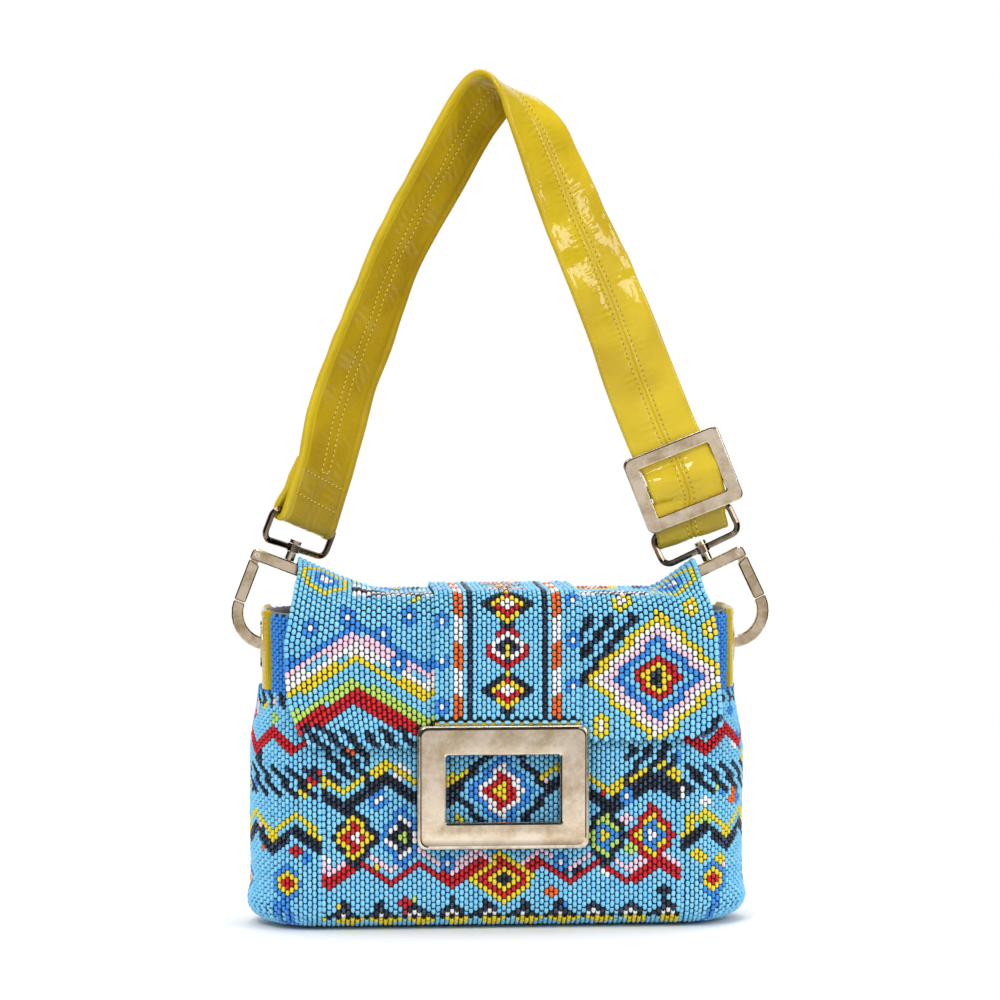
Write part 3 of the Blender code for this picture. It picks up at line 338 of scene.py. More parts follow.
beadLooks = beadMaterials()
threadGround = threadClothMaterial()
patentBright = patentMaterial("patent_bright")
# a darker copy of the patent: painted shade, for the flap's underside and the strap's end loop
patentShaded = patentMaterial("patent_painted_shade", (0.72, 0.70, 0.70))
# painted shade: the strap's outer face darker below the slider
strapOuterShadeBelowSlider = [((-0.368, 0.0, 0.930), 0.1560, 0.1615, 0.60, 1.0)]
strapOuterLook = patentMaterial("patent_strap_outer", paintedShading=strapOuterShadeBelowSlider)
# a darker, more orange copy of the patent: painted shade on the strap's inner face, turned from the lamps
strapInnerShaded = patentMaterial("patent_strap_inner_painted_shade", (0.72, 0.655, 0.30))
champagne = metalMaterial("champagne_metal", (0.63, 0.53, 0.41), (0.42, 0.31, 0.19), 90.0)
# painted reflection: the buckle lighter towards the bottom; painted shade along its bottom edge
buckleLightAndShade = [((0, 0, 1), 0.044, 0.103, 1.12, 0.88), ((0, 0, 1), 0.0442, 0.0474, 0.42, 1.0)]
buckleMetal = metalMaterial("buckle_metal", (0.66, 0.56, 0.44), (0.47, 0.36, 0.23), 70.0, paintedShading=buckleLightAndShade)
# painted reflections for the frames' bevels: a dark one and a pale one
bevelPaintedDark = metalMaterial("bevel_painted_dark_reflection", (0.060, 0.050, 0.040), (0.030, 0.024, 0.018), 200.0, (0.12, 0.20))
bevelPaintedPale = metalMaterial("bevel_painted_pale_reflection", (0.80, 0.71, 0.58), (0.58, 0.47, 0.34), 160.0, (0.20, 0.30))
hookMetal = metalMaterial("hook_metal", (0.56, 0.46, 0.34), (0.32, 0.23, 0.13), 110.0)
darkNickel = metalMaterial("dark_nickel", (0.22, 0.165, 0.12), (0.09, 0.064, 0.046), 90.0, (0.05, 0.12))
# painted shade for the needle holes between the stitches
needleHoleShade = newMaterial("needle_hole_shade", {"Base Color": (0.17, 0.115, 0.006), "Roughness": 0.8})[0]
liningCloth = clothMaterial("lining_cloth", (0.20, 0.20, 0.21), (0.36, 0.36, 0.38))
thread = threadMaterial()


# Mesh helpers

def finishPiece(obj, body, replaced=()):
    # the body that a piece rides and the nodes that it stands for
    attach(obj, body)
    if replaced:
        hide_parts(*replaced)
    return obj


def meshOf(name, points, quads, looks, lookIndex=None):
    # points is (n, 3) and quads is (m, 4); looks are materials, and lookIndex picks one for each face
    mesh = bpy.data.meshes.new(name)
    mesh.vertices.add(len(points))
    mesh.vertices.foreach_set("co", np.ascontiguousarray(points, np.float32).ravel())
    mesh.loops.add(quads.size)
    mesh.loops.foreach_set("vertex_index", np.ascontiguousarray(quads, np.int32).ravel())
    mesh.polygons.add(len(quads))
    mesh.polygons.foreach_set("loop_start", np.arange(0, quads.size, 4, dtype=np.int32))
    mesh.polygons.foreach_set("loop_total", np.full(len(quads), 4, np.int32))
    for look in looks:
        mesh.materials.append(look)
    if lookIndex is not None:
        mesh.polygons.foreach_set("material_index", np.ascontiguousarray(lookIndex, np.int32))
    mesh.polygons.foreach_set("use_smooth", np.full(len(quads), True))
    mesh.update(calc_edges=True)
    mesh.validate()
    obj = bpy.data.objects.new(name, mesh)
    bpy.context.scene.collection.objects.link(obj)
    return obj


def gridQuads(rows, columns, wrapRows=False, wrapColumns=False):
    # quads of a grid of points laid row by row
    r = np.arange(rows if wrapRows else rows - 1)
    c = np.arange(columns if wrapColumns else columns - 1)
    a, b = np.meshgrid(r, c, indexing="ij")
    nextRow = (a + 1) % rows
    nextColumn = (b + 1) % columns
    quads = np.stack([a * columns + b, nextRow * columns + b, nextRow * columns + nextColumn,
                      a * columns + nextColumn], -1)
    return quads.reshape(-1, 4)


def fanCap(first, count, flip):
    # a cap over a ring with an even count of points, as strips of quads
    k = np.arange(count // 2 - 1)
    quads = np.stack([k, k + 1, count - 2 - k, count - 1 - k], 1)
    if flip:
        quads = quads[:, ::-1]
    return quads + first


def tube(sections, closed=False):
    # sections is (stations, points, 3), each one closed on itself; open tubes get a cap at both ends
    stations, points = sections.shape[:2]
    quads = [gridQuads(stations, points, closed, True)]
    if not closed:
        quads.append(fanCap(0, points, False))
        quads.append(fanCap((stations - 1) * points, points, True))
    return sections.reshape(-1, 3), np.concatenate(quads)


def outwards(obj):
    # recalculates the faces' directions on a closed shell
    work = bmesh.new()
    work.from_mesh(obj.data)
    bmesh.ops.recalc_face_normals(work, faces=work.faces)
    work.to_mesh(obj.data)
    work.free()
    return obj


def thicken(obj, thickness):
    # makes an open sheet solid behind its face
    solid = obj.modifiers.new("Thickness", "SOLIDIFY")
    solid.thickness = thickness
    solid.offset = -1
    return obj


def sheetOf(name, points, look, thickness):
    # an open grid of points (rows, columns, 3) made solid behind its face
    return thicken(meshOf(name, points.reshape(-1, 3), gridQuads(*points.shape[:2]), [look]), thickness)


def shellOf(name, points, look, thickness, body, replaced=()):
    # such a sheet on one body
    return finishPiece(sheetOf(name, points, look, thickness), body, replaced)


# Beads

bead = {
    "columnPitch": 0.00238,
    "rowPitch": 0.0033,
    "fill": 0.472,
    "lengthShare": 0.905,
    "leastRadius": 0.00095,
    "mostRadius": 0.00142,
    "sink": 0.0003,
    "heights": (-0.5, -0.32, 0.0, 0.32, 0.5),
    "swells": (0.54, 0.89, 1.0, 0.89, 0.54),
    "sides": 8,
    "uneven": {"size": 0.03, "tilt": 0.05, "depth": 0.00006, "across": 0.00005},
}
surfaceStep = 0.0002


def unit(vectors):
    # each vector over its own length
    return vectors / np.linalg.norm(vectors, axis=-1, keepdims=True)


def barrels(centre, along, out, radius, length, heights, swells, sides):
    # many small barrels: rings of points round each one's length, with a flat cap at both ends
    side = unit(np.cross(along, out))
    out = np.cross(side, along)
    angle = np.arange(sides) * 2 * np.pi / sides
    ring = side[:, None] * np.cos(angle)[None, :, None] + out[:, None] * np.sin(angle)[None, :, None]
    levels = []
    for height, swell in zip(heights, swells):
        level = centre + along * (length * height)[:, None]
        levels.append(level[:, None] + ring * (radius * swell)[:, None, None])
    points = np.stack(levels, 1)
    count, last = len(heights) * sides, (len(heights) - 1) * sides
    wall = gridQuads(len(heights), sides, False, True)
    caps = np.concatenate([fanCap(0, sides, False), fanCap(last, sides, True)])
    one = np.concatenate([wall, caps])
    quads = one[None] + (np.arange(len(centre)) * count)[:, None, None]
    return points.reshape(-1, 3), quads.reshape(-1, 4), len(wall), len(caps)


def layBeads(name, surface, u, t, inner, colours, spacing, turn=False):
    # surface(u, t) gives points; each bead stands on it, on the side away from its inner point
    place = surface(u, t)
    across = (surface(u + surfaceStep, t) - surface(u - surfaceStep, t)) / (2 * surfaceStep)
    along = unit(surface(u, t + surfaceStep) - surface(u, t - surfaceStep))
    width = np.linalg.norm(across, axis=1) * spacing
    across = unit(across)
    normal = unit(np.cross(across, along))
    normal *= np.sign(np.sum(normal * (place - inner(place)), 1, keepdims=True))
    if turn:
        across, along = along, across
    count, uneven = len(place), bead["uneven"]
    radius = np.clip(width * bead["fill"], bead["leastRadius"], bead["mostRadius"])
    radius = radius * (1 + rng.normal(0, uneven["size"], count))
    length = bead["rowPitch"] * bead["lengthShare"] * (1 + rng.normal(0, uneven["size"], count))
    tilt = rng.normal(0, uneven["tilt"], (count, 2))
    along = unit(along + normal * tilt[:, :1] + across * tilt[:, 1:])
    centre = place + normal * (radius - bead["sink"] + rng.normal(0, uneven["depth"], count))[:, None]
    centre = centre + across * rng.normal(0, uneven["across"], (count, 1))
    points, quads, walls, caps = barrels(centre, along, normal, radius, length, bead["heights"],
                                         bead["swells"], bead["sides"])
    looks = np.repeat(colours[:, None], walls + caps, 1)
    # the end caps: the dark thread in the holes with painted shade
    looks[:, walls:] = len(beadLooks) - 1
    piece = meshOf(name, points, quads, beadLooks, looks.ravel())
    print(name, count, "beads")
    return piece


def lattice(uLow, uHigh, base, tHigh):
    # columns from uLow to uHigh; rows start at base(u), and odd columns sit half a bead higher
    count = max(2, round((uHigh - uLow) / bead["columnPitch"]))
    pitch = (uHigh - uLow) / count
    rows = math.floor((tHigh - float(np.min(base(np.array([uLow, uHigh]))))) / bead["rowPitch"]) + 1
    i, j = np.meshgrid(np.arange(count), np.arange(rows), indexing="ij")
    u = (uLow + (i + 0.5) * pitch).ravel()
    t = base(u) + (j + 0.5 + 0.5 * (i % 2)).ravel() * bead["rowPitch"]
    keep = t < tHigh - bead["rowPitch"] * 0.4
    return u[keep], t[keep], pitch


# Bead patterns: each art holds the beads' places in metres and the index of each bead's colour

def newArt(x, z):
    # a ground of two pale blues, drawn by chance
    colour = np.where(rng.random(len(x)) < 0.5, beadNames.index("sky"), beadNames.index("skyPale"))
    return {"x": x, "z": z, "colour": colour}


def fill(art, mask, name):
    # gives the masked beads one colour
    art["colour"][mask] = beadNames.index(name)


def nested(art, far, names):
    # fills where far is below 1, then ever smaller shares of it, the outermost colour first
    for k, name in enumerate(names):
        fill(art, far < 1 - k / len(names), name)


def rings(art, cx, cz, size, names):
    # six-sided rings round a centre, the outermost first
    dx = np.abs(art["x"] - cx)
    dz = np.abs(art["z"] - cz)
    nested(art, np.maximum(dx * 0.95, 0.5 * dx + 0.8 * dz) / size, names)


def lozenge(art, cx, cz, width, height, names):
    # stepped diamonds inside each other, the outermost first
    nested(art, np.abs(art["x"] - cx) / width + np.abs(art["z"] - cz) / height, names)


def zigzag(art, base, rise, span, thick, name, right=1.0, shift=0.0):
    # a band that climbs and falls by rise over each span, as far as right
    phase = ((art["x"] - shift) / span) % 1.0
    middle = base + rise * (1 - np.abs(2 * phase - 1))
    fill(art, (art["x"] < right) & (np.abs(art["z"] - middle) < thick / 2), name)


def teeth(art, base, height, span, name, shift=0.0, down=False):
    # a row of triangles that stand on a line or hang from it
    phase = ((art["x"] - shift) / span) % 1.0
    reach = height * (1 - np.abs(2 * phase - 1))
    rise = (base - art["z"]) if down else (art["z"] - base)
    fill(art, (rise > 0) & (rise < reach), name)


def hatch(art, mask, span, share, slope, name):
    # slanting stripes
    phase = ((art["x"] + slope * art["z"]) / span) % 1.0
    fill(art, mask & (phase < share), name)


def flower(art, cx, cz, petal, heart, size=0.0040):
    # a small round of petals with a heart of another colour
    far = np.hypot(art["x"] - cx, (art["z"] - cz) * 0.85)
    fill(art, far < size, petal)
    fill(art, far < size * 0.42, heart)


def within(art, left, right, low, high):
    # the beads inside a box
    return (art["x"] > left) & (art["x"] < right) & (art["z"] > low) & (art["z"] < high)


def sprinkle(art, seed, count, names, box):
    # small loose clusters of beads
    draw = np.random.default_rng(seed)
    for k in range(count):
        cx, cz = draw.uniform(box[0], box[1]), draw.uniform(box[2], box[3])
        width, height = draw.uniform(0.0026, 0.0052), draw.uniform(0.0026, 0.0052)
        lozenge(art, cx, cz, width, height, [names[draw.integers(len(names))]])


def flowers(art, places, *look):
    # the same flower at several places
    for cx, cz in places:
        flower(art, cx, cz, *look)


def glint(art):
    # some dark beads are brighter than others
    navy = art["colour"] == beadNames.index("navy")
    bright = rng.random(len(navy)) < 0.4
    art["colour"][navy & bright] = beadNames.index("navyGlint")
    return art["colour"]


accents = ["yellow", "red", "azure", "white", "pink", "lime", "navy", "orange"]


def frontArt(x, z):
    # the front panel: zigzags, lozenges and teeth
    art = newArt(x, z)
    sprinkle(art, 5, 70, accents, (-0.09, 0.09, 0.005, 0.13))
    zigzag(art, 0.062, 0.014, 0.045, 0.0075, "navy", shift=0.010)
    zigzag(art, 0.070, 0.014, 0.045, 0.0045, "yellow", shift=0.010)
    zigzag(art, 0.024, 0.010, 0.030, 0.0050, "red", shift=0.004)
    zigzag(art, 0.030, 0.010, 0.030, 0.0040, "pink", shift=0.004)
    for cx, names in ((-0.074, ["navy", "yellow", "red", "white"]),
                      (-0.050, ["azure", "white", "navy", "lime"]),
                      (0.052, ["navy", "lime", "azure", "yellow"]),
                      (0.076, ["red", "yellow", "azure", "white"])):
        lozenge(art, cx, 0.047, 0.0125, 0.017, names)
    lozenge(art, 0.0, 0.070, 0.026, 0.030, ["navy", "sky", "azure", "white", "red", "yellow"])
    lozenge(art, 0.0, 0.026, 0.018, 0.014, ["yellow", "red", "yellow", "navy"])
    hatch(art, within(art, -0.089, -0.066, 0.074, 0.095), 0.0085, 0.5, 0.8, "navy")
    hatch(art, within(art, 0.062, 0.089, 0.070, 0.093), 0.0085, 0.5, -0.8, "navy")
    teeth(art, 0.004, 0.012, 0.018, "navy", shift=0.002)
    teeth(art, 0.004, 0.006, 0.018, "white", shift=0.002)
    flowers(art, ((-0.062, 0.066), (-0.031, 0.086), (0.034, 0.084), (0.063, 0.066), (-0.028, 0.034),
                  (0.030, 0.033)), "azure", "white")
    return glint(art)


def backArt(x, z):
    # the back panel: three rows of six-sided rings between zigzags
    art = newArt(x, z)
    kinds = [["yellow", "white", "azure", "red", "yellow"], ["navy", "lime", "sky", "pink", "red"]]
    for row, cz in enumerate((0.034, 0.080, 0.124)):
        for k in range(-2, 3):
            rings(art, k * 0.040 + 0.02 * (row % 2), cz, 0.015, kinds[(k + row) % 2])
    zigzag(art, 0.053, 0.010, 0.040, 0.0055, "navy")
    zigzag(art, 0.099, 0.010, 0.040, 0.0055, "red", shift=0.02)
    zigzag(art, 0.106, 0.010, 0.040, 0.0040, "lime", shift=0.02)
    teeth(art, 0.004, 0.012, 0.018, "navy")
    teeth(art, 0.158, 0.010, 0.018, "navy", down=True)
    sprinkle(art, 11, 40, accents, (-0.09, 0.09, 0.02, 0.15))
    return glint(art)


def baseArt(x, y):
    # the base: a hatched stripe between two rows of teeth
    art = newArt(x, y)
    hatch(art, np.abs(y) < 0.012, 0.012, 0.5, 1.0, "navy")
    teeth(art, -0.034, 0.011, 0.018, "yellow", shift=0.005)
    teeth(art, 0.034, 0.011, 0.018, "yellow", shift=0.005, down=True)
    return glint(art)


def gussetArt(x, z):
    # an end: x runs round it, with zigzags, lozenges and hatching up to a plain rim
    art = newArt(x, z)
    sprinkle(art, 3, 40, accents, (-0.055, 0.055, 0.01, 0.12))
    zigzag(art, 0.040, 0.012, 0.0275, 0.0060, "navy")
    zigzag(art, 0.047, 0.012, 0.0275, 0.0045, "yellow")
    zigzag(art, 0.090, 0.010, 0.0275, 0.0050, "red", shift=0.013)
    hatch(art, within(art, -1, 1, 0.068, 0.082), 0.010, 0.5, 0.9, "navy")
    for k in range(-1, 2):
        lozenge(art, k * 0.0366, 0.024, 0.010, 0.012, ["azure", "yellow", "red"])
    hatch(art, within(art, -1, 1, 0.112, 0.119), 0.009, 0.5, 0.9, "navy")
    fill(art, art["z"] > 0.119, "azure")
    return glint(art)


def flapArt(x, z):
    # z runs on past the fold over the top and down the back
    art = newArt(x, z)
    left = x < 0
    sprinkle(art, 8, 26, ["azure", "yellow", "white"], (-0.10, 0.10, 0.165, 0.30))
    # left: nested chevrons with flowers between them
    for base, thick, name in ((0.118, 0.0050, "yellow"), (0.1235, 0.0050, "white"), (0.129, 0.0042, "pink"),
                              (0.1335, 0.0042, "azure")):
        zigzag(art, base, 0.020, 0.070, thick, name, right=0.0, shift=-0.108)
    zigzag(art, 0.0985, 0.020, 0.070, 0.0085, "red", right=0.0, shift=-0.108)
    zigzag(art, 0.1055, 0.020, 0.070, 0.0050, "lime", right=0.0, shift=-0.108)
    hatch(art, left & (z < 0.101 + 0.1 * np.abs(x + 0.073)), 0.0095, 0.5, 0.9, "navy")
    flowers(art, ((-0.095, 0.152), (-0.078, 0.1585), (-0.060, 0.150), (-0.046, 0.158), (-0.052, 0.134)),
            "azure", "white")
    # right: one big stepped diamond, with hatching in two corners
    right = x > 0
    hatch(art, right & (z < 0.158) & (z - 0.126 > 0.9 * (x - 0.050)), 0.0105, 0.5, -0.8, "navy")
    hatch(art, right & (z < 0.126) & (0.126 - z > 1.15 * (0.125 - x)), 0.0105, 0.5, -0.8, "navy")
    lozenge(art, 0.078, 0.127, 0.037, 0.034,
            ["yellow", "white", "pink", "azure", "sky", "red", "yellow", "navy"])
    flowers(art, ((0.050, 0.103), (0.104, 0.151), (0.095, 0.163), (0.060, 0.166)), "yellow", "white", 0.0046)
    # the top's edge: navy and white checks
    check = ((np.floor(x / 0.0094) + np.floor(z / 0.0066)) % 2) == 0
    strip = within(art, -0.075, 0.075, 0.171, 0.191)
    fill(art, strip, "navy")
    fill(art, strip & check, "white")
    for cx in (-0.088, 0.088):
        rings(art, cx, 0.185, 0.011, ["yellow", "sky", "azure", "white"])
    kinds = [["yellow", "red", "white"], ["navy", "azure", "yellow"]]
    for k in range(6):
        rings(art, -0.085 + 0.034 * k, 0.222, 0.013, kinds[k % 2])
    teeth(art, 0.240, 0.012, 0.020, "navy")
    zigzag(art, 0.262, 0.010, 0.028, 0.0055, "red")
    zigzag(art, 0.269, 0.010, 0.028, 0.0045, "lime")
    return glint(art)


def bandArt(x, z):
    # the band: a chain of lozenges between dark lines, striped borders and small flowers
    art = newArt(x, z)
    middle, repeat = band["middle"], 0.0215
    away = np.abs(x - middle)
    kinds = [["navy", "yellow", "red", "white"], ["red", "white", "navy", "yellow"]]
    for k in range(9):
        lozenge(art, middle, 0.121 + repeat * k, 0.0125, 0.0120, kinds[k % 2])
    fill(art, (away > 0.0175) & (away < 0.0200), "navy")
    stripe = (np.floor(z / 0.0132) % 2) == 0
    border = (away > 0.0225) & (away < 0.0270)
    fill(art, border & stripe, "orange")
    fill(art, border & ~stripe, "white")
    for side, low in ((-1, 0.114), (1, 0.1245)):
        flowers(art, [(middle + side * 0.0325, low + repeat * k) for k in range(9)], "azure", "white", 0.0034)
    return glint(art)


# The bag's body: a stadium in plan with a round bottom edge

bag = {
    "seam": 0.0905,
    "halfDepth": 0.0350,
    "edge": 0.0150,
    "baseSeam": math.radians(55),
    "frontTop": 0.130,
    "backTop": 0.158,
    "gussetTop": 0.160,
    "notchHalf": 0.0222,
    "notchLow": 0.122,
    "inset": 0.0013,
    "clothThickness": 0.0012,
    "sag": 0.0005,
    "baseLift": 0.0010,
    "corner": 0.0024,
    "crumple": 0.0004,
    "lipDraw": 0.0042,
    "lipDrawFrom": 0.084,
    "lipDrawRise": 0.038,
    "firstRow": 0.0030,
    "topGap": 0.0012,
    "seamGap": 0.0003,
    "seamDip": 0.0009,
    "seamWidth": 0.0022,
}


def waves(a, b, seed, span):
    # a soft unevenness: four crossed sine waves, between about -1 and 1
    draw = np.random.default_rng(seed)
    total = 0
    for k in range(4):
        angle = draw.uniform(0, np.pi)
        length = span * draw.uniform(0.7, 1.5)
        shift = draw.uniform(0, 2 * np.pi)
        total = total + np.sin((a * np.cos(angle) + b * np.sin(angle)) * 2 * np.pi / length + shift)
    return total / 2.6


def smoothShare(value):
    # 0 up to 0, 1 from 1 on, and an even curve between them
    share = np.clip(value, 0, 1)
    return share * share * (3 - 2 * share)


def gridOf(surface, u, t):
    # points of a surface on every pair of u and t; t may be one list or a row for each u
    if t.ndim == 1:
        t = np.broadcast_to(t, (len(u), len(t)))
    wide = np.broadcast_to(u[:, None], t.shape)
    return surface(wide.ravel(), t.ravel()).reshape(*t.shape, 3)


def edgeSection(t, start):
    # distance from the bag's middle plane, and height, t along the section from an angle on the bottom edge
    arcLength = (math.pi / 2 - start) * bag["edge"]
    angle = start + np.clip(t, 0, arcLength) / bag["edge"]
    depth = bag["halfDepth"] - bag["edge"] + bag["edge"] * np.sin(angle)
    height = bag["edge"] * (1 - np.cos(angle)) + np.maximum(t - arcLength, 0)
    under = np.minimum(t, 0)
    return depth + under * np.cos(start), height + under * np.sin(start), angle


def panelSurface(side, inset):
    # the front (side -1) or the back (side 1): t runs up from the base seam
    def surface(x, t):
        depth, height, angle = edgeSection(t, bag["baseSeam"])
        dip = bag["seamDip"] * np.exp(-((np.abs(x) - bag["seam"]) / bag["seamWidth"]) ** 2)
        dip = dip + bag["seamDip"] * np.exp(-(t / bag["seamWidth"]) ** 2)
        move = bag["sag"] * waves(x, t, 40 + side, 0.07) - inset - dip
        depth = depth + move * np.sin(angle)
        height = height - move * np.cos(angle)
        return np.stack([x, side * depth, height], -1)
    return surface


def baseSurface(inset):
    # across the bottom from the front seam to the back seam; t is measured from the middle
    flat = bag["halfDepth"] - bag["edge"]

    def surface(x, t):
        over = np.clip(np.abs(t) - flat, 0, None) / bag["edge"]
        radius = bag["edge"] - inset - bag["baseLift"] * np.cos(over)
        y = np.sign(t) * (np.minimum(np.abs(t), flat) + radius * np.sin(over))
        z = bag["edge"] - radius * np.cos(over)
        return np.stack([x, y, z], -1)
    return surface


def drawnIn(u, height):
    # how far the end of the bag is drawn in flat against the side tab, from the notch's lip up
    return bag["lipDraw"] * np.cos(u) ** 2 * smoothShare((height - bag["lipDrawFrom"]) / bag["lipDrawRise"])


def gussetSurface(side, inset):
    # u is the angle from the front (-90 degrees) to the back, and t the length out from the base's middle
    flat = bag["halfDepth"] - bag["edge"]
    arcLength = bag["edge"] * math.pi / 2

    def surface(u, t):
        angle = np.clip(t - flat, 0, arcLength) / bag["edge"]
        wall = np.maximum(t - flat - arcLength, 0)
        reach = np.minimum(t, flat) + bag["edge"] * np.sin(angle)
        height = bag["edge"] * (1 - np.cos(angle)) + wall
        seam = 0.0008 * np.exp(-((np.abs(u) - math.pi / 2) / 0.06) ** 2)
        crumple = bag["crumple"] * waves(u * bag["halfDepth"], t, 60 + side, 0.045)
        move = crumple * np.clip(height / 0.03, 0, 1) - inset - seam - drawnIn(u, height)
        full = bag["corner"] * np.exp(-((height - 0.0085) / 0.0085) ** 2) * np.cos(u) ** 2
        move = move - bag["baseLift"] * np.cos(angle) ** 2 + full * np.sin(angle)
        reach = reach + move * np.sin(angle)
        height = height - move * np.cos(angle)
        return np.stack([side * (bag["seam"] + reach * np.cos(u)), reach * np.sin(u), height], -1)
    return surface


def innerOfBody(place):
    # the nearest point of the bag's inner spine
    x = np.clip(place[:, 0], -bag["seam"], bag["seam"])
    z = np.maximum(place[:, 2], bag["edge"])
    return np.stack([x, np.zeros(len(x)), z], -1)


def gussetTopAt(u):
    # the end's upper edge: low in the notch in its middle, where the tab is, and high beside it
    y = np.abs(bag["halfDepth"] * np.sin(u))
    return np.where(y < bag["notchHalf"], bag["notchLow"], bag["gussetTop"])


def gussetLattice():
    # half rows of beads round the end; the count drops as the bottom closes in
    flat = bag["halfDepth"] - bag["edge"]
    arcLength = bag["edge"] * math.pi / 2
    total = flat + arcLength + bag["gussetTop"] - bag["edge"]
    us, ts, spaces = [], [], []
    halfRow = bead["rowPitch"] / 2
    for h in range(int(total / halfRow)):
        t = bag["firstRow"] + h * halfRow
        angle = min(max(t - flat, 0), arcLength) / bag["edge"]
        reach = min(t, flat) + bag["edge"] * math.sin(angle)
        count = max(1, round(math.pi * reach / (2 * bead["columnPitch"])))
        k = np.arange(count)
        us.append(-math.pi / 2 + math.pi * (k + 0.25 + 0.5 * (h % 2)) / count)
        ts.append(np.full(count, t))
        spaces.append(np.full(count, math.pi / count / 2))
    u, t, space = np.concatenate(us), np.concatenate(ts), np.concatenate(spaces)
    height = np.maximum(t - flat - arcLength, 0) + bag["edge"]
    keep = (height < gussetTopAt(u) - bag["topGap"]) | (t < flat + arcLength)
    return u[keep], t[keep], height[keep], space[keep]


def makePanels():
    # front and back: beads in two halves over one ground
    arcFront = (math.pi / 2 - bag["baseSeam"]) * bag["edge"]
    edge = bag["seam"] - bag["seamGap"]
    for side, name, top, art in ((-1, "front", bag["frontTop"], frontArt),
                                 (1, "back", bag["backTop"], backArt)):
        surface = panelSurface(side, bag["inset"])
        tTop = top - bag["edge"] + arcFront
        for half, low, high in (("left", -edge, 0.0), ("right", 0.0, edge)):
            u, t, pitch = lattice(low, high, np.zeros_like, tTop)
            colours = art(u, t - arcFront + bag["edge"])
            piece = layBeads(name + "_beads_" + half, surface, u, t, innerOfBody, colours, pitch)
            finishPiece(piece, "bag", (name + "_panel",) if half == "left" else ())
        grid = gridOf(surface, np.linspace(-edge, edge, 90), np.linspace(0.0004, tTop - 0.0010, 60))
        shellOf(name + "_ground", grid if side < 0 else grid[::-1], threadGround, bag["clothThickness"],
                "bag")


def makeBase():
    # the base, from the front panel's seam to the back's
    flat = bag["halfDepth"] - bag["edge"]
    edge = bag["seam"] - bag["seamGap"]
    surface = baseSurface(bag["inset"])
    tEdge = flat + bag["baseSeam"] * bag["edge"] - 0.0004
    u, t, pitch = lattice(-edge, edge, lambda x: np.full(len(x), -tEdge), tEdge)
    piece = layBeads("base_beads", surface, u, t, innerOfBody, baseArt(u, t), pitch)
    finishPiece(piece, "bag", ("base_panel",))
    grid = gridOf(surface, np.linspace(-edge, edge, 60), np.linspace(-tEdge, tEdge, 40))
    shellOf("base_ground", grid[::-1], threadGround, bag["clothThickness"], "bag")


def makeGusset(side, name):
    # an end of the bag; its ground's columns stand apart where the upper edge steps down into the notch
    surface = gussetSurface(side, bag["inset"])
    u, t, height, spacing = gussetLattice()
    flatU = u * bag["halfDepth"] * side
    piece = layBeads(name + "_gusset_beads", surface, u, t, innerOfBody, gussetArt(flatU, height), spacing)
    finishPiece(piece, "bag", (name + "_gusset",))
    notch = math.asin(bag["notchHalf"] / bag["halfDepth"])
    stations = np.concatenate([np.linspace(-math.pi / 2 + 0.008, -notch - 0.020, 12),
                               np.linspace(-notch + 0.004, notch - 0.004, 20),
                               np.linspace(notch + 0.020, math.pi / 2 - 0.008, 12)])
    wall = bag["halfDepth"] - bag["edge"] + bag["edge"] * math.pi / 2
    total = gussetTopAt(stations) - bag["edge"] + wall - bag["topGap"]
    t = 0.001 + np.linspace(0, 1, 90)[None, :] * (total[:, None] - 0.001)
    grid = gridOf(surface, stations, t)
    shellOf(name + "_gusset_ground", grid if side > 0 else grid[::-1], threadGround, bag["clothThickness"],
            "bag")


# The flap and its band: columns run from the hem up the front, over the top and down the back

flap = {
    "front": 0.0405,
    "back": 0.0373,
    "top": 0.1682,
    "edge": 0.011,
    "half": 0.102,
    "fold": 0.158,
    "backLow": 0.128,
    "eyelet": 0.1418,
    "leftEar": (0.056, 0.0175),
    "rightEar": (0.0770, 0.0165),
    "leftFlare": ((0.080, -0.0030), (0.0956, -0.0021), (0.1026, 0.0009), (0.1091, 0.0033), (0.1151, 0.0053),
                  (0.1236, 0.0063), (0.1315, 0.0069), (0.1455, 0.0073), (0.1520, 0.0058), (0.1644, 0.0036),
                  (0.1724, 0.0020), (0.180, 0.0)),
    "rightFlare": ((0.080, 0.0080), (0.100, 0.0088), (0.112, 0.0090), (0.126, 0.0076), (0.150, 0.0064),
                   (0.1634, 0.0040), (0.170, 0.0012), (0.178, 0.0)),
    "leftHem": 0.0910,
    "rightHem": 0.0962,
    "cornerRadius": 0.0085,
    "inset": 0.0012,
    "clothThickness": 0.0009,
    "liningLift": -0.0022,
    "liningShare": 0.985,
    "wave": 0.0007,
    "straightFrom": 0.080,
    "earPower": 1.25,
    "fanFrom": 0.040,
    "fanOver": 0.062,
    "fanPower": 1.2,
    "overPoints": 110,
    "fallPoints": 40,
    "tailGap": 0.004,
    "hemGap": 0.0010,
    "waveFrom": 0.03,
}
band = {"middle": 0.0023, "half": 0.0363, "lift": 0.0026, "low": 0.1068, "edging": 0.1029, "rowLow": 0.1054,
        "overlap": 0.0030, "underRise": 0.006, "clothThickness": 0.0014}
bandLow, bandHigh = band["middle"] - band["half"], band["middle"] + band["half"]


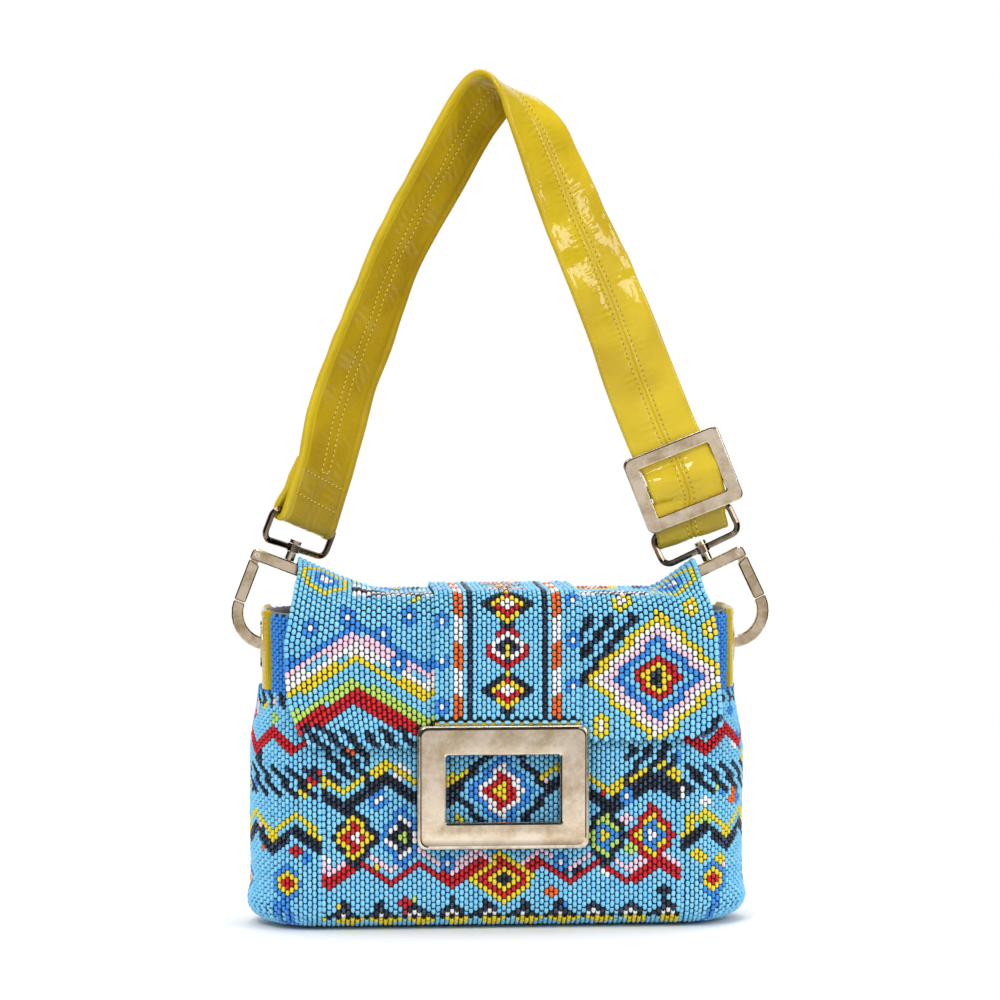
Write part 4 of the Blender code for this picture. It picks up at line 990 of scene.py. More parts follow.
def flapPaths(x, lift):
    # for each x, the points of one column's path from the bottom of the front to the back hem
    frontY, backY = -(flap["front"] + lift), flap["back"] + lift
    radius, top = flap["edge"] + lift, flap["top"] + lift
    quarter, flat = radius * math.pi / 2, backY - frontY - 2 * radius
    # over the top as a box with two round edges, and as one half round; the ears are mostly the latter
    q = np.linspace(0, 1, flap["overPoints"])
    s = q * (2 * quarter + flat)
    first, last = np.clip(s / radius, 0, math.pi / 2), np.clip((s - quarter - flat) / radius, 0, math.pi / 2)
    boxY = frontY + radius * (1 - np.cos(first)) + np.clip(s - quarter, 0, flat) + radius * np.sin(last)
    boxZ = top - radius * (1 - np.sin(first)) - radius * (1 - np.cos(last))
    turn = math.pi * (1 - q)
    start = np.where(x < 0, flap["leftEar"][0], flap["rightEar"][0])
    rise = np.where(x < 0, flap["leftEar"][1], flap["rightEar"][1])
    share = np.clip((np.abs(x) - start) / (flap["half"] - start), 0, 1)[:, None] ** flap["earPower"]
    roundY = (frontY + backY) / 2 + (backY - frontY) / 2 * np.cos(turn)
    roundZ = flap["eyelet"] + (top + rise[:, None] - flap["eyelet"]) * np.sin(turn)[None, :]
    overY = boxY + share * (roundY - boxY)
    overZ = boxZ + share * (roundZ - boxZ)
    up = np.linspace(0, 1, flap["fallPoints"], endpoint=False)
    frontZ = flap["straightFrom"] + (overZ[:, :1] - flap["straightFrom"]) * up
    backZ = overZ[:, -1:] + (flap["backLow"] - flap["tailGap"] - overZ[:, -1:]) * (1 - up[::-1])
    y = np.concatenate([np.full(frontZ.shape, frontY), overY, np.full(backZ.shape, backY)], 1)
    z = np.concatenate([frontZ, overZ, backZ], 1)
    side = np.where(x < 0, -1.0, 1.0)
    fan = np.clip((np.abs(x) - flap["fanFrom"]) / flap["fanOver"], 0, 1) ** flap["fanPower"]
    left = np.interp(z, *zip(*flap["leftFlare"]))
    right = np.interp(z, *zip(*flap["rightFlare"]))
    flare = np.where(side[:, None] < 0, left, right) * (y < 0)
    wide = x[:, None] + side[:, None] * flare * fan[:, None]
    points = np.stack([wide, y, z], -1)
    step = np.linalg.norm(np.diff(points, axis=1), axis=2)
    length = np.concatenate([np.zeros((len(x), 1)), np.cumsum(step, 1)], 1)
    # the fold is on the front, so its height is looked up before the path turns down at the back
    rising = flap["fallPoints"] + 50
    foldAt = np.array([np.interp(flap["fold"], z[k, :rising], length[k, :rising]) for k in range(len(x))])
    return points, length - foldAt[:, None]


def tailOf(lift):
    # the length from the fold to just above the back hem
    return flapPaths(np.array([0.0]), lift)[1][0, -1] - flap["tailGap"]


def flapSurface(lift):
    # x and t are flat arrays; t is the length along the column from the fold
    def surface(x, t):
        columns, where = np.unique(np.round(x, 7), return_inverse=True)
        points, length = flapPaths(columns, lift)
        out = np.empty((len(x), 3))
        for k in range(len(columns)):
            mine = where == k
            for axis in range(3):
                out[mine, axis] = np.interp(t[mine], length[k], points[k, :, axis])
        hang = np.clip((flap["fold"] - out[:, 2]) / flap["waveFrom"], 0, 1) * (out[:, 1] < 0)
        out[:, 1] -= hang * flap["wave"] * (waves(out[:, 0], out[:, 2], 77, 0.06) + 0.3)
        return out
    return surface


def innerOfFlap(place):
    # the nearest point of a box within the flap
    return np.stack([place[:, 0], np.clip(place[:, 1], -0.026, 0.026), np.minimum(place[:, 2], 0.145)], -1)


def hemLine(x):
    # the skewed height of the hem
    return flap["leftHem"] + (flap["rightHem"] - flap["leftHem"]) * (x + 0.1) / 0.2


def hemAt(x):
    # the hem's height, with a round corner at each side
    radius = flap["cornerRadius"]
    into = np.clip(np.abs(x) - (flap["half"] - radius), 0, radius)
    return hemLine(x) + radius - np.sqrt(radius ** 2 - into ** 2)


def flapBeads(name, surface, u, t, colours, pitch, nodes):
    # beads laid over the flap where it folds, baked in place
    piece = layBeads(name, surface, u, t, innerOfFlap, colours, pitch)
    if nodes:
        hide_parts(*nodes)
    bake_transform(piece)


def makeFlap():
    # beads left and right of the band and a few rows under it, their ground, and the leather lining
    surface = flapSurface(-flap["inset"])
    tail = tailOf(-flap["inset"])
    underLow, underHigh = bandLow + band["overlap"], bandHigh - band["overlap"]
    for name, low, high, end, nodes in (
            ("left", -flap["half"], underLow, tail, ("flap_top",)),
            ("right", underHigh, flap["half"], tail, ("flap_front",)),
            ("under_band", underLow, underHigh, band["low"] + band["underRise"] - flap["fold"], ())):
        u, t, pitch = lattice(low, high, lambda x: hemLine(x) - flap["fold"], end)
        keep = t > hemAt(u) - flap["fold"] + flap["hemGap"]
        u, t = u[keep], t[keep]
        colours = flapArt(surface(u, t)[:, 0], t + flap["fold"])
        flapBeads("flap_beads_" + name, surface, u, t, colours, pitch, nodes)
    stations = np.linspace(-flap["half"] + 0.0005, flap["half"] - 0.0005, 120)
    hem = hemAt(stations) - flap["fold"] + 0.0014
    t = hem[:, None] + np.linspace(0, 1, 150)[None, :] * (tail - hem[:, None])
    flapSheet("flap_ground", surface, stations, t, threadGround, flap["clothThickness"])
    t = hem[:, None] + 0.0010 + np.linspace(0, 1, 90)[None, :] * (tail - 0.002 - hem[:, None])
    # the underside gets the patent copy with painted shade
    lining = flapSheet("flap_patent_lining", flapSurface(flap["liningLift"]), stations * flap["liningShare"],
                       t, patentShaded, flap["clothThickness"])
    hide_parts("flap_lining")


def makeBand():
    # the raised band down the flap's middle, its ground, and beads laid sideways along its lower edge
    lift = band["lift"] - flap["inset"]
    surface, tail = flapSurface(lift), tailOf(lift)
    u, t, pitch = lattice(bandLow, bandHigh, lambda x: np.full(len(x), band["low"] - flap["fold"]), tail)
    flapBeads("band_beads", surface, u, t, bandArt(u, t + flap["fold"]), pitch, ("band_top", "band_front"))
    t = np.linspace(band["edging"] + 0.0032 - flap["fold"], tail - 0.001, 150)
    stations = np.linspace(bandLow + 0.0005, bandHigh - 0.0005, 44)
    flapSheet("band_ground", surface, stations, t, threadGround, band["clothThickness"])
    # one under every second column
    x = bandLow + pitch * (np.arange(1, round(2 * band["half"] / pitch), 2) + 0.5)
    t = np.full(len(x), band["rowLow"] - flap["fold"])
    colours = newArt(x, t)["colour"]
    piece = layBeads("band_end_row", surface, x, t, innerOfFlap, colours, pitch, turn=True)
    finishPiece(piece, "flap")


def flapSheet(name, surface, stations, t, look, thickness):
    # a thin sheet laid along the flap and round its fold, baked in place
    sheet = applyModifiers(sheetOf(name, gridOf(surface, stations, t), look, thickness))
    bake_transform(sheet)
    return sheet


def applyModifiers(obj):
    # puts the modified mesh in place of the plain one
    graph = bpy.context.evaluated_depsgraph_get()
    mesh = bpy.data.meshes.new_from_object(obj.evaluated_get(graph))
    obj.modifiers.clear()
    obj.data = mesh
    return obj


# The lining, its pocket and the side tabs

inside = {"gap": 0.0036, "edge": 0.0115, "frontTop": 0.1294, "backTop": 0.1574, "endTop": 0.1592,
          "thickness": 0.0008, "sag": 0.0005, "draw": 1.15}
pocket = {"half": 0.060, "low": 0.045, "top": 0.115, "back": 0.0290, "swell": 0.0012, "rim": 0.004,
          "thickness": 0.0008}
tab = {"low": 0.1205, "top": 0.1606, "half": 0.0216, "face": 0.1199, "setBack": 0.0030, "thickness": 0.0024,
       "stitchInset": 0.0026, "stitchPitch": 0.0027, "flatHalf": 0.0118, "roll": 0.0016, "rollIn": 0.0012,
       "bevel": 0.0009, "bevelAngle": math.radians(50)}


def makeLining():
    # a cup of cloth: a stadium in plan, each line of it running down the wall and in over the floor
    angle = np.linspace(-math.pi / 2, math.pi / 2, 30)[1:-1]
    spine, dirX, dirY, top = [], [], [], []
    # the front and the right end, then the back and the left end
    for side, wallTop in ((1, inside["frontTop"]), (-1, inside["backTop"])):
        straight = np.linspace(bag["seam"] * side, -bag["seam"] * side, 40)[::-1]
        spine += [straight, np.full(len(angle), side * bag["seam"])]
        dirX += [np.zeros(len(straight)), side * np.cos(angle * side)]
        dirY += [np.full(len(straight), -float(side)), np.sin(angle * side)]
        top += [np.full(len(straight), wallTop), np.full(len(angle), inside["endTop"])]
    spine, dirX, dirY, top = (np.concatenate(values) for values in (spine, dirX, dirY, top))
    # reach from the spine and height of each row: down the wall, round the bottom edge, and in
    wide, edge = bag["halfDepth"] - inside["gap"], inside["edge"]
    rows = [(wide, top + (bag["edge"] - top) * share) for share in np.linspace(0, 1, 40)]
    rows += [(wide - edge * (1 - math.sin(tilt)), bag["edge"] - edge * math.cos(tilt))
             for tilt in np.linspace(math.pi / 2, 0, 8)[1:]]
    rows += [((wide - edge) * share, bag["edge"] - edge) for share in np.linspace(1, 0.02, 8)[1:]]
    around = np.arctan2(dirY, np.abs(dirX))
    grid = []
    for reach, height in rows:
        height = np.broadcast_to(height, top.shape)
        draw = drawnIn(around, height) * inside["draw"] * (np.abs(dirX) > 0)
        soft = inside["sag"] * (waves(spine + dirX * 0.03, height + dirY * 0.03, 91, 0.04) - 1)
        out = reach - draw + np.where(height > bag["edge"], soft, 0)
        grid.append(np.stack([spine + out * dirX, out * dirY, height], -1))
    quads = gridQuads(len(rows), len(top), False, True)
    lining = outwards(meshOf("lining_cloth", np.concatenate(grid), quads, [liningCloth]))
    finishPiece(thicken(lining, inside["thickness"]), "bag", ("lining",))


def makePocket():
    # the slip pocket on the back wall, sewn down at its sides and bottom
    x, z = np.meshgrid(np.linspace(-pocket["half"], pocket["half"], 50),
                       np.linspace(pocket["low"], pocket["top"], 30), indexing="ij")
    away = np.minimum(1, (pocket["half"] - np.abs(x)) / pocket["rim"])
    away = away * np.minimum(1, (z - pocket["low"]) / pocket["rim"])
    y = pocket["back"] - pocket["swell"] * away - 0.0003 * waves(x, z, 12, 0.03)
    shellOf("pocket_cloth", np.stack([x, y, z], -1), liningCloth, pocket["thickness"], "bag",
            ("inner_pocket",))


def tabSurface(side):
    # the tab's face across the bag and up it: flat in the middle, set back at its edges, rolled in at its top
    def surface(y, z):
        beside = np.clip((np.abs(y) - tab["flatHalf"]) / (tab["half"] - tab["flatHalf"]), 0, 1)
        roll = np.clip((z - (tab["top"] - tab["roll"])) / tab["roll"], 0, 1)
        x = tab["face"] - tab["setBack"] * beside ** 1.6 - tab["rollIn"] * roll ** 2
        return np.stack([side * x, y, z], -1)
    return surface


def makeTab(side, name):
    # the leather, then one row of stitches up each edge and one across the top
    surface = tabSurface(side)
    half, top, inset = tab["half"], tab["top"], tab["stitchInset"]
    z = np.concatenate([np.linspace(tab["low"], top - tab["roll"], 24), np.linspace(top - 0.0014, top, 6)])
    grid = gridOf(surface, np.linspace(-half, half, 36), z)
    face = shellOf(name + "_tab_leather", grid if side > 0 else grid[::-1], patentBright, tab["thickness"],
                   "bag", (name + "_side_tab",))
    soft = face.modifiers.new("Edge", "BEVEL")
    soft.width = tab["bevel"]
    soft.segments = 3
    soft.limit_method = "ANGLE"
    soft.angle_limit = tab["bevelAngle"]
    up = np.arange(tab["low"] + 0.002, top - 0.003, tab["stitchPitch"])
    across = np.arange(-half + 0.004, half - 0.003, tab["stitchPitch"])
    ys = np.concatenate([np.full(len(up), -half + inset), np.full(len(up), half - inset), across])
    zs = np.concatenate([up, up, np.full(len(across), top - 0.0032)])
    place = surface(ys, zs)
    alongZ = surface(ys, zs + 0.0003) - place
    alongY = surface(ys + 0.0003, zs) - place
    crossing = np.arange(len(ys)) >= 2 * len(up)
    along = unit(np.where(crossing[:, None], alongY, alongZ))
    normal = unit(np.cross(alongY, alongZ)) * side
    stitches(name + "_tab_stitches", place, along, normal, "bag", tab["stitchPitch"] * 0.68)


stitch = {"heights": (-0.5, -0.3, 0.3, 0.5), "swells": (0.35, 1.0, 1.0, 0.35), "sides": 6, "rise": 0.25,
          "uneven": 0.06}


def stitches(name, place, along, out, body, length, radius=0.00030, look=thread):
    # short rounded thread stitches half sunk in the leather
    count = len(place)
    centre = place + out * radius * stitch["rise"]
    sizes = radius * (1 + rng.normal(0, stitch["uneven"], count))
    points, quads = barrels(centre, along, out, sizes, np.full(count, length), stitch["heights"],
                            stitch["swells"], stitch["sides"])[:2]
    return finishPiece(meshOf(name, points, quads, [look]), body)


# The strap: one band folded round both rings, with a seam down its outer face

strap = {
    "width": 0.0373,
    "thickness": 0.0028,
    "edge": 0.0012,
    "tab": 0.030,
    "converge": 0.012,
    "foldTop": 0.0030,
    "offset": 0.0034,
    "route": (
        (-0.0820, -0.0015, 0.2557, 0.784, 0.549, -0.290),
        (-0.0759, -0.0005, 0.2759, 0.737, 0.610, -0.290),
        (-0.0679, 0.0005, 0.2962, 0.732, 0.609, -0.307),
        (-0.0603, 0.0015, 0.3165, 0.680, 0.671, -0.296),
        (-0.0525, 0.0024, 0.3368, 0.654, 0.696, -0.297),
        (-0.0423, 0.0032, 0.3571, 0.655, 0.677, -0.335),
        (-0.0307, 0.0040, 0.3775, 0.659, 0.654, -0.370),
        (-0.0205, 0.0044, 0.3964, 0.661, 0.646, -0.381),
        (-0.0142, 0.0045, 0.4074, 0.668, 0.639, -0.381),
        (-0.0098, 0.0045, 0.4142, 0.659, 0.613, -0.435),
        (-0.0059, 0.0044, 0.4192, 0.632, 0.621, -0.464),
        (-0.0028, 0.0041, 0.4223, 0.594, 0.679, -0.431),
        (0.0003, 0.0032, 0.4243, 0.530, 0.769, -0.358),
        (0.0034, 0.0018, 0.4247, 0.492, 0.830, -0.263),
        (0.0063, 0.0001, 0.4236, 0.494, 0.854, -0.166),
        (0.0090, -0.0016, 0.4211, 0.508, 0.857, -0.082),
        (0.0117, -0.0031, 0.4173, 0.549, 0.836, 0.002),
        (0.0147, -0.0043, 0.4122, 0.601, 0.786, 0.144),
        (0.0184, -0.0052, 0.4067, 0.666, 0.713, 0.217),
        (0.0232, -0.0053, 0.3968, 0.731, 0.645, 0.220),
        (0.0314, -0.0051, 0.3773, 0.799, 0.533, 0.278),
        (0.0396, -0.0049, 0.3571, 0.825, 0.467, 0.318),
        (0.0488, -0.0046, 0.3368, 0.861, 0.375, 0.344),
        (0.0575, -0.0043, 0.3165, 0.892, 0.299, 0.339),
        (0.0655, -0.0040, 0.2962, 0.921, 0.224, 0.320),
        (0.0728, -0.0037, 0.2759, 0.938, 0.076, 0.338),
    ),
    "leftRing": (-0.10367, 0.0, 0.1906),
    "rightRing": (0.10554, 0.0, 0.18948),
    "leftTilt": -21.0,
    "rightTilt": 25.3,
    "leftTurn": 39.0,
    "legTilt": 21.6,
    "leftFold": {"tilt": -17.0, "lean": -25.0, "turn": 39.0, "drop": 0.0052},
    "rightFold": {"tilt": 14.5, "lean": 18.5, "turn": 0.0, "drop": 0.0094},
    "ringHeight": 0.0165,
    "sliderRise": 0.0206,
    "sliderShift": 0.0040,
    "windowShift": (0.0006, 0.0001),
    "spacing": 0.0009,
    "seamStitch": 0.0023,
    "stitchPitch": 0.0027,
    "seamFrom": 0.0350,
    "innerEnd": 0.030,
    "outerEnd": 0.012,
    "crossRows": (0.0180, 0.0304),
    "edgeStitch": 0.0017,
    "bulge": 0.0040,
    "bulgeReach": 0.0135,
    "turnedEdge": 0.0044,
    "crossSkew": 0.17,
}


def frameAt(origin, tilt, turn=0.0):
    # a frame leaning by tilt and turned about its own up axis; out faces the front
    a, b = math.radians(tilt), math.radians(turn)
    across = np.array([math.cos(a), 0.0, math.sin(a)])
    up = np.array([-math.sin(a), 0.0, math.cos(a)])
    out = np.array([0.0, -1.0, 0.0])
    return {"origin": np.array(origin), "up": up, "across": across * math.cos(b) - out * math.sin(b),
            "out": across * math.sin(b) + out * math.cos(b)}


leftRing = frameAt(strap["leftRing"], strap["leftTilt"], strap["leftTurn"])
rightRing = frameAt(strap["rightRing"], strap["rightTilt"])


def barOf(ring):
    # the middle of a ring's top bar
    return ring["origin"] + ring["up"] * strap["ringHeight"]


def sliderPlace():
    # the slider's frame, up the right leg from its ring and in front of the strap's plain line
    place = frameAt((0, 0, 0), strap["legTilt"])
    origin = barOf(rightRing) + place["up"] * strap["sliderRise"] + place["across"] * strap["sliderShift"]
    place["origin"] = origin + place["out"] * strap["offset"]
    return place


slider = sliderPlace()


def foldOffset(height):
    # the folded layer closes in on the main one over the first stretch above the ring
    travel = 2 * strap["offset"] - strap["thickness"] - 0.0001
    return -strap["offset"] + travel * float(smoothShare(height / strap["converge"]))


def foldFrame(ring, fold):
    # a fold hangs on a ring's top bar; its layers rise along tilt, and its bottom edge leans a little more
    place = frameAt(barOf(ring), fold["tilt"], fold["turn"])
    place["across"] = frameAt(barOf(ring), fold["lean"], fold["turn"])["across"]
    place["drop"] = fold["drop"]
    return place


def foldStations(fold, down, up, mainFirst):
    # places down one layer, half round the ring's top bar, and up the other layer
    bar, wide = fold["origin"], strap["offset"]
    places = []
    for height in down:
        places.append(bar + fold["up"] * height + fold["out"] * (wide if mainFirst else foldOffset(height)))
    start = fold["out"] * (1 if mainFirst else -1)
    for angle in np.linspace(0, math.pi, 14):
        places.append(bar + start * math.cos(angle) * wide - fold["up"] * math.sin(angle) * fold["drop"])
    for height in up:
        places.append(bar + fold["up"] * height + fold["out"] * (foldOffset(height) if mainFirst else wide))
    return [(place, fold["across"]) for place in places]


leftFold = foldFrame(leftRing, strap["leftFold"])
rightFold = foldFrame(rightRing, strap["rightFold"])


def curveThrough(points, steps):
    # a smooth curve through rows of values, without the first and the last row
    points = np.array(points)
    t = np.linspace(0, 1, steps, endpoint=False)[:, None]
    out = []
    for i in range(1, len(points) - 2):
        before, start, end, after = points[i - 1:i + 3]
        out.append(start + t * (end - before) / 2 + t ** 2 * (before - 2.5 * start + 2 * end - after / 2)
                   + t ** 3 * (-before / 2 + 1.5 * start - 1.5 * end + after / 2))
    return np.concatenate(out + [points[-2:-1]])


def archStations():
    # the free arch, from above the left fold to above the right one: places and directions across the band
    lead = leftFold["origin"] + leftFold["up"] * strap["tab"] + leftFold["out"] * strap["offset"]
    first = leftFold["origin"] + leftFold["up"] * strap["converge"] + leftFold["out"] * strap["offset"]
    across, up = slider["across"], slider["up"]
    slide = slider["origin"] + up * 0.022 - across * 0.0012
    shift = strap["windowShift"][::-1]
    window = [slider["origin"] + up * height + across * np.interp(height, (-0.011, 0.011), shift)
              for height in (0.011, 0.0, -0.010)]
    last = rightFold["origin"] + rightFold["up"] * strap["foldTop"] + rightFold["out"] * strap["offset"]
    end = rightFold["origin"] + rightFold["out"] * strap["offset"]
    rows = [(*first, *leftFold["across"]), (*lead, *leftFold["across"]), *strap["route"]]
    rows += [(*place, *across) for place in (slide, *window)]
    rows += [(*last, *rightFold["across"]), (*end, *rightFold["across"])]
    route = curveThrough(rows, 12)
    return list(zip(route[:, :3], unit(route[:, 3:])))


def valuesAt(at, s, values):
    # rows of three values read at lengths along the band
    return np.stack([np.interp(at, s, values[:, k]) for k in range(3)], -1)


def resample(stations, spacing, smoothing):
    # even steps along the band, with the corners between its stretches eased
    places = np.array([place for place, _ in stations])
    across = np.array([direction for _, direction in stations])
    length = np.concatenate([[0], np.cumsum(np.linalg.norm(np.diff(places, axis=0), axis=1))])
    keep = np.concatenate([[True], np.diff(length) > 1e-7])
    places, across, length = places[keep], across[keep], length[keep]
    s = np.linspace(0, length[-1], int(length[-1] / spacing))
    out = [valuesAt(s, length, values) for values in (places, across)]
    kernel = np.hanning(smoothing + 2)[1:-1]
    kernel /= kernel.sum()
    half = smoothing // 2
    for values in out:
        padded = np.pad(values, ((half, half), (0, 0)), mode="edge")
        for k in range(3):
            values[:, k] = np.convolve(padded[:, k], kernel, mode="valid")
    return s, out[0], unit(out[1])


def strapStations():
    # the whole band: down behind the left leg, round its ring's bar, over the arch and round the right bar
    down = np.linspace(strap["tab"], 0, 14)
    up = np.linspace(0, strap["converge"], 6)[1:]
    stations = foldStations(leftFold, down, up, False) + archStations()
    return stations + foldStations(rightFold, [strap["foldTop"] / 2, 0], up, True)


strapLength, strapPlace, strapAcross = resample(strapStations(), strap["spacing"], 11)


def bandFrames(place, across):
    # directions along the band, squarely across it, and out of its inner face
    along = unit(np.gradient(place, axis=0))
    across = unit(across - along * np.sum(across * along, 1, keepdims=True))
    return along, across, np.cross(across, along)


def sectionSpots(half, edge, count, fine):
    # even places across the band, closer together over its middle
    a = np.linspace(-half + edge, half - edge, count)
    close = np.linspace(-0.0034, 0.0034, fine)
    return np.sort(np.concatenate([a[np.abs(a) > 0.0037], close]))


def ringsOfBand(place, across, normal, a, half, edge, inner, outer):
    # a closed section at every station: the inner face, a round edge, the outer face, a round edge
    turn = np.linspace(math.pi / 2, -math.pi / 2, 6)[1:-1]
    upper, lower = inner(a), -outer(a)
    one = np.ones((len(place), 1))
    parts = []
    for end, spots, values in ((1, a, upper), (-1, a[::-1], lower[:, ::-1])):
        parts.append((one * spots, values))
        top = upper[:, -1:] if end > 0 else upper[:, :1]
        bottom = lower[:, -1:] if end > 0 else lower[:, :1]
        middle, radius = (top + bottom) / 2, (top - bottom) / 2
        parts.append((one * end * (half - edge + edge * np.cos(turn)), middle + radius * np.sin(end * turn)))
    wide = np.concatenate([spots for spots, _ in parts], 1)
    high = np.concatenate([values for _, values in parts], 1)
    return place[:, None] + across[:, None] * wide[..., None] + normal[:, None] * high[..., None]


def calm(s):
    # no dents on the two folds
    return smoothShare((s - 0.049) / 0.012) * smoothShare((strapLength[-1] - 0.026 - s) / 0.006)


def strapInner(s, a):
    # half the thickness on the inner face: turned edges, two sewn channels, soft dents and ragged creases
    half = strap["width"] / 2
    wide = np.abs(a)
    rim = 0.00055 * smoothShare((wide - (half - 0.0040)) / 0.0010)
    rim = rim - 0.0004 * np.exp(-((wide - half + 0.0043) / 0.0006) ** 2)
    channel = -0.00026 * np.exp(-((wide - strap["seamStitch"]) / 0.0005) ** 2)
    soft = 0.00050 * waves(a * 0.8, s, 31, 0.017) * (1 - smoothShare((wide - 0.011) / 0.003)) * calm(s)
    ragged = 0.5 + 0.5 * waves(a * 0.5, s, 21, 0.013)
    creases = np.sin(2 * np.pi * (s + 0.4 * a) / 0.0043 + 2.0 * waves(a, s, 14, 0.02))
    creases = 0.00030 * ragged * creases * np.exp(-((wide - 0.0072) / 0.0036) ** 2)
    return strap["thickness"] / 2 + rim + channel + soft + creases


def strapOuter(s, a):
    # the same on the outer face, where the seam pulls the leather into short puckers beside its two rows
    half = strap["width"] / 2
    wide = np.abs(a)
    seam = -0.0007 * np.exp(-(wide / 0.00040) ** 2)
    channel = -0.00030 * np.exp(-((wide - strap["seamStitch"]) / 0.0005) ** 2)
    pillow = 0.0004 * np.clip(1 - ((wide - 0.0095) / 0.0075) ** 2, 0, 1)
    near = np.exp(-((wide - 0.0054) / 0.0034) ** 2) * smoothShare((wide - 0.0024) / 0.0014)
    ragged = 0.5 + 0.5 * waves(a * 0.4, s, 8, 0.012)
    puckers = np.sin(2 * np.pi * s / 0.0034 + np.sign(a) * 1.3 + 2.2 * waves(a, s, 9, 0.03))
    soft = 0.00052 * waves(a * 0.7, s, 33, 0.021) * np.clip(wide / 0.005, 0, 1) * calm(s)
    rim = 0.00015 * smoothShare((wide - (half - 0.0030)) / 0.0008)
    return strap["thickness"] / 2 + seam + channel + pillow + 0.00030 * near * ragged * puckers + soft + rim


def makeStrap():
    # the leather over the band's line, then its stitches
    s, place = strapLength, strapPlace
    along, across, normal = bandFrames(place, strapAcross)
    half = strap["width"] / 2
    # the end behind the left leg is cut a little narrower, and the fold on the right ring is spread flat
    taper = 1 - 0.11 * (1 - smoothShare(s / 0.013)) + 0.030 * smoothShare((s - s[-1] + 0.034) / 0.016)
    # a bulge through the slider's window
    toSlider = np.linalg.norm(place - slider["origin"], axis=1)
    lift = strap["bulge"] * np.cos(np.clip(toSlider / strap["bulgeReach"], 0, 1) * math.pi / 2) ** 2
    place = place + np.outer(lift, slider["out"])
    spots = sectionSpots(half, strap["edge"], 36, 23)
    sections = ringsOfBand(place, across * taper[:, None], normal, spots, half, strap["edge"],
                           lambda a: strapInner(s[:, None], a[None, :]),
                           lambda a: strapOuter(s[:, None], a[None, :]))
    points, quads = tube(sections)
    # the inner face gets painted shade, apart from its turned left edge
    around = np.zeros(sections.shape[1], int)
    around[:len(spots) + 2] = 1
    around[:len(spots) - 1][spots[:-1] < strap["turnedEdge"] - half] = 0
    looks = np.tile(around, len(s) - 1)
    looks = np.concatenate([looks, np.zeros(len(quads) - len(looks), int)])
    leather = outwards(meshOf("strap_leather", points, quads, [strapOuterLook, strapInnerShaded], looks))
    finishPiece(leather, "strap", ("strap",))
    strapStitches(s, place, along, across, normal)
    print("strap made")


def strapStitches(s, place, along, across, normal):
    # seam stitches show on both faces; two rows cross the left end, and a short one boxes the seam rows
    def rowAt(at, a, face, crossed=False, sunk=0.0):
        lengthwise, sideways, out = (unit(valuesAt(at, s, values)) for values in (along, across, normal))
        out = out * face
        high = (strapInner if face > 0 else strapOuter)(at, a) - sunk
        spot = valuesAt(at, s, place) + sideways * np.reshape(a, (-1, 1)) + out * high[:, None]
        return spot, sideways if crossed else lengthwise, out

    def sew(name, rows, length, radius, look=thread):
        spot, direction, out = [np.concatenate(parts) for parts in zip(*rows)]
        stitches(name, spot, direction, out, "strap", length, radius, look)

    pitch, sunk = strap["stitchPitch"], 0.00008
    foldAt = strap["tab"] + math.pi * strap["offset"] / 2
    rows, holes = [], []
    inner = np.arange(foldAt + strap["seamFrom"], s[-1] - strap["innerEnd"], pitch)
    outer = np.arange(foldAt, s[-1] - strap["outerEnd"], pitch)
    for a in (-strap["seamStitch"], strap["seamStitch"]):
        for spots, face in ((inner, 1), (outer, -1)):
            rows.append(rowAt(spots, np.full(len(spots), a), face))
            holes.append(rowAt(spots + pitch / 2, np.full(len(spots), a), face, False, sunk))
    wide = np.arange(-0.0142, 0.0143, pitch)
    between = wide[:-1] + pitch / 2
    for height in strap["crossRows"]:
        rows.append(rowAt(foldAt + height - wide * strap["crossSkew"], wide, 1, True))
        holes.append(rowAt(foldAt + height - between * strap["crossSkew"], between, 1, True, sunk))
    rows.append(rowAt(np.full(2, foldAt + 0.0338), np.array([-0.0011, 0.0011]), 1, True))
    sew("strap_stitches", rows, pitch * 0.68, 0.00033)
    # dark dots between the stitches: painted shade in the needle holes
    sew("strap_needle_holes", holes, pitch * 0.26, 0.00028, needleHoleShade)
    edge = strap["width"] / 2 - strap["edgeStitch"]
    rows = [rowAt(outer, np.full(len(outer), a), -1) for a in (-edge, edge)]
    sew("strap_edge_stitches", rows, pitch * 0.5, 0.00016)


endLoop = {"thickness": 0.0018, "bar": 0.0014, "clear": 0.0003, "strapHalf": 0.0013, "tail": 0.004,
           "edge": 0.0008, "narrower": 0.0005, "spacing": 0.0006}


def makeEndLoop():
    # the strap's end: up behind the main layer, round the slider's bar and down again
    reach = endLoop["bar"] + endLoop["clear"] + endLoop["thickness"] / 2
    depth = endLoop["strapHalf"] + endLoop["clear"] + endLoop["thickness"] / 2 + reach
    up, out, across = slider["up"], slider["out"], slider["across"]
    bar = slider["origin"] - out * depth
    start = rightFold["origin"] + rightFold["up"] * (strap["converge"] + 0.0012)
    start = start + rightFold["out"] * foldOffset(strap["converge"])
    rows = [(start, rightFold["across"]), (start + rightFold["up"] * 0.0009, across),
            (bar - up * endLoop["tail"] - out * reach, across)]
    rows += [(bar - out * reach * math.cos(angle) + up * reach * math.sin(angle), across)
             for angle in np.linspace(0, math.pi, 12)]
    rows.append((bar - up * endLoop["tail"] + out * reach, across))
    s, place, across = resample(rows, endLoop["spacing"], 5)
    _, across, normal = bandFrames(place, across)

    def faceAt(a):
        return endLoop["thickness"] / 2 + 0.0001 * waves(a[None, :], s[:, None], 5, 0.02)

    half = strap["width"] / 2 - endLoop["narrower"]
    spots = sectionSpots(half, endLoop["edge"], 24, 9)
    points, quads = tube(ringsOfBand(place, across, normal, spots, half, endLoop["edge"], faceAt, faceAt))
    # the loop gets the patent copy with painted shade
    loop = outwards(meshOf("end_loop_leather", points, quads, [patentShaded]))
    finishPiece(loop, "slider", ("strap_end_loop",))


# Flat metal frames: a section carried between an outer and an inner outline

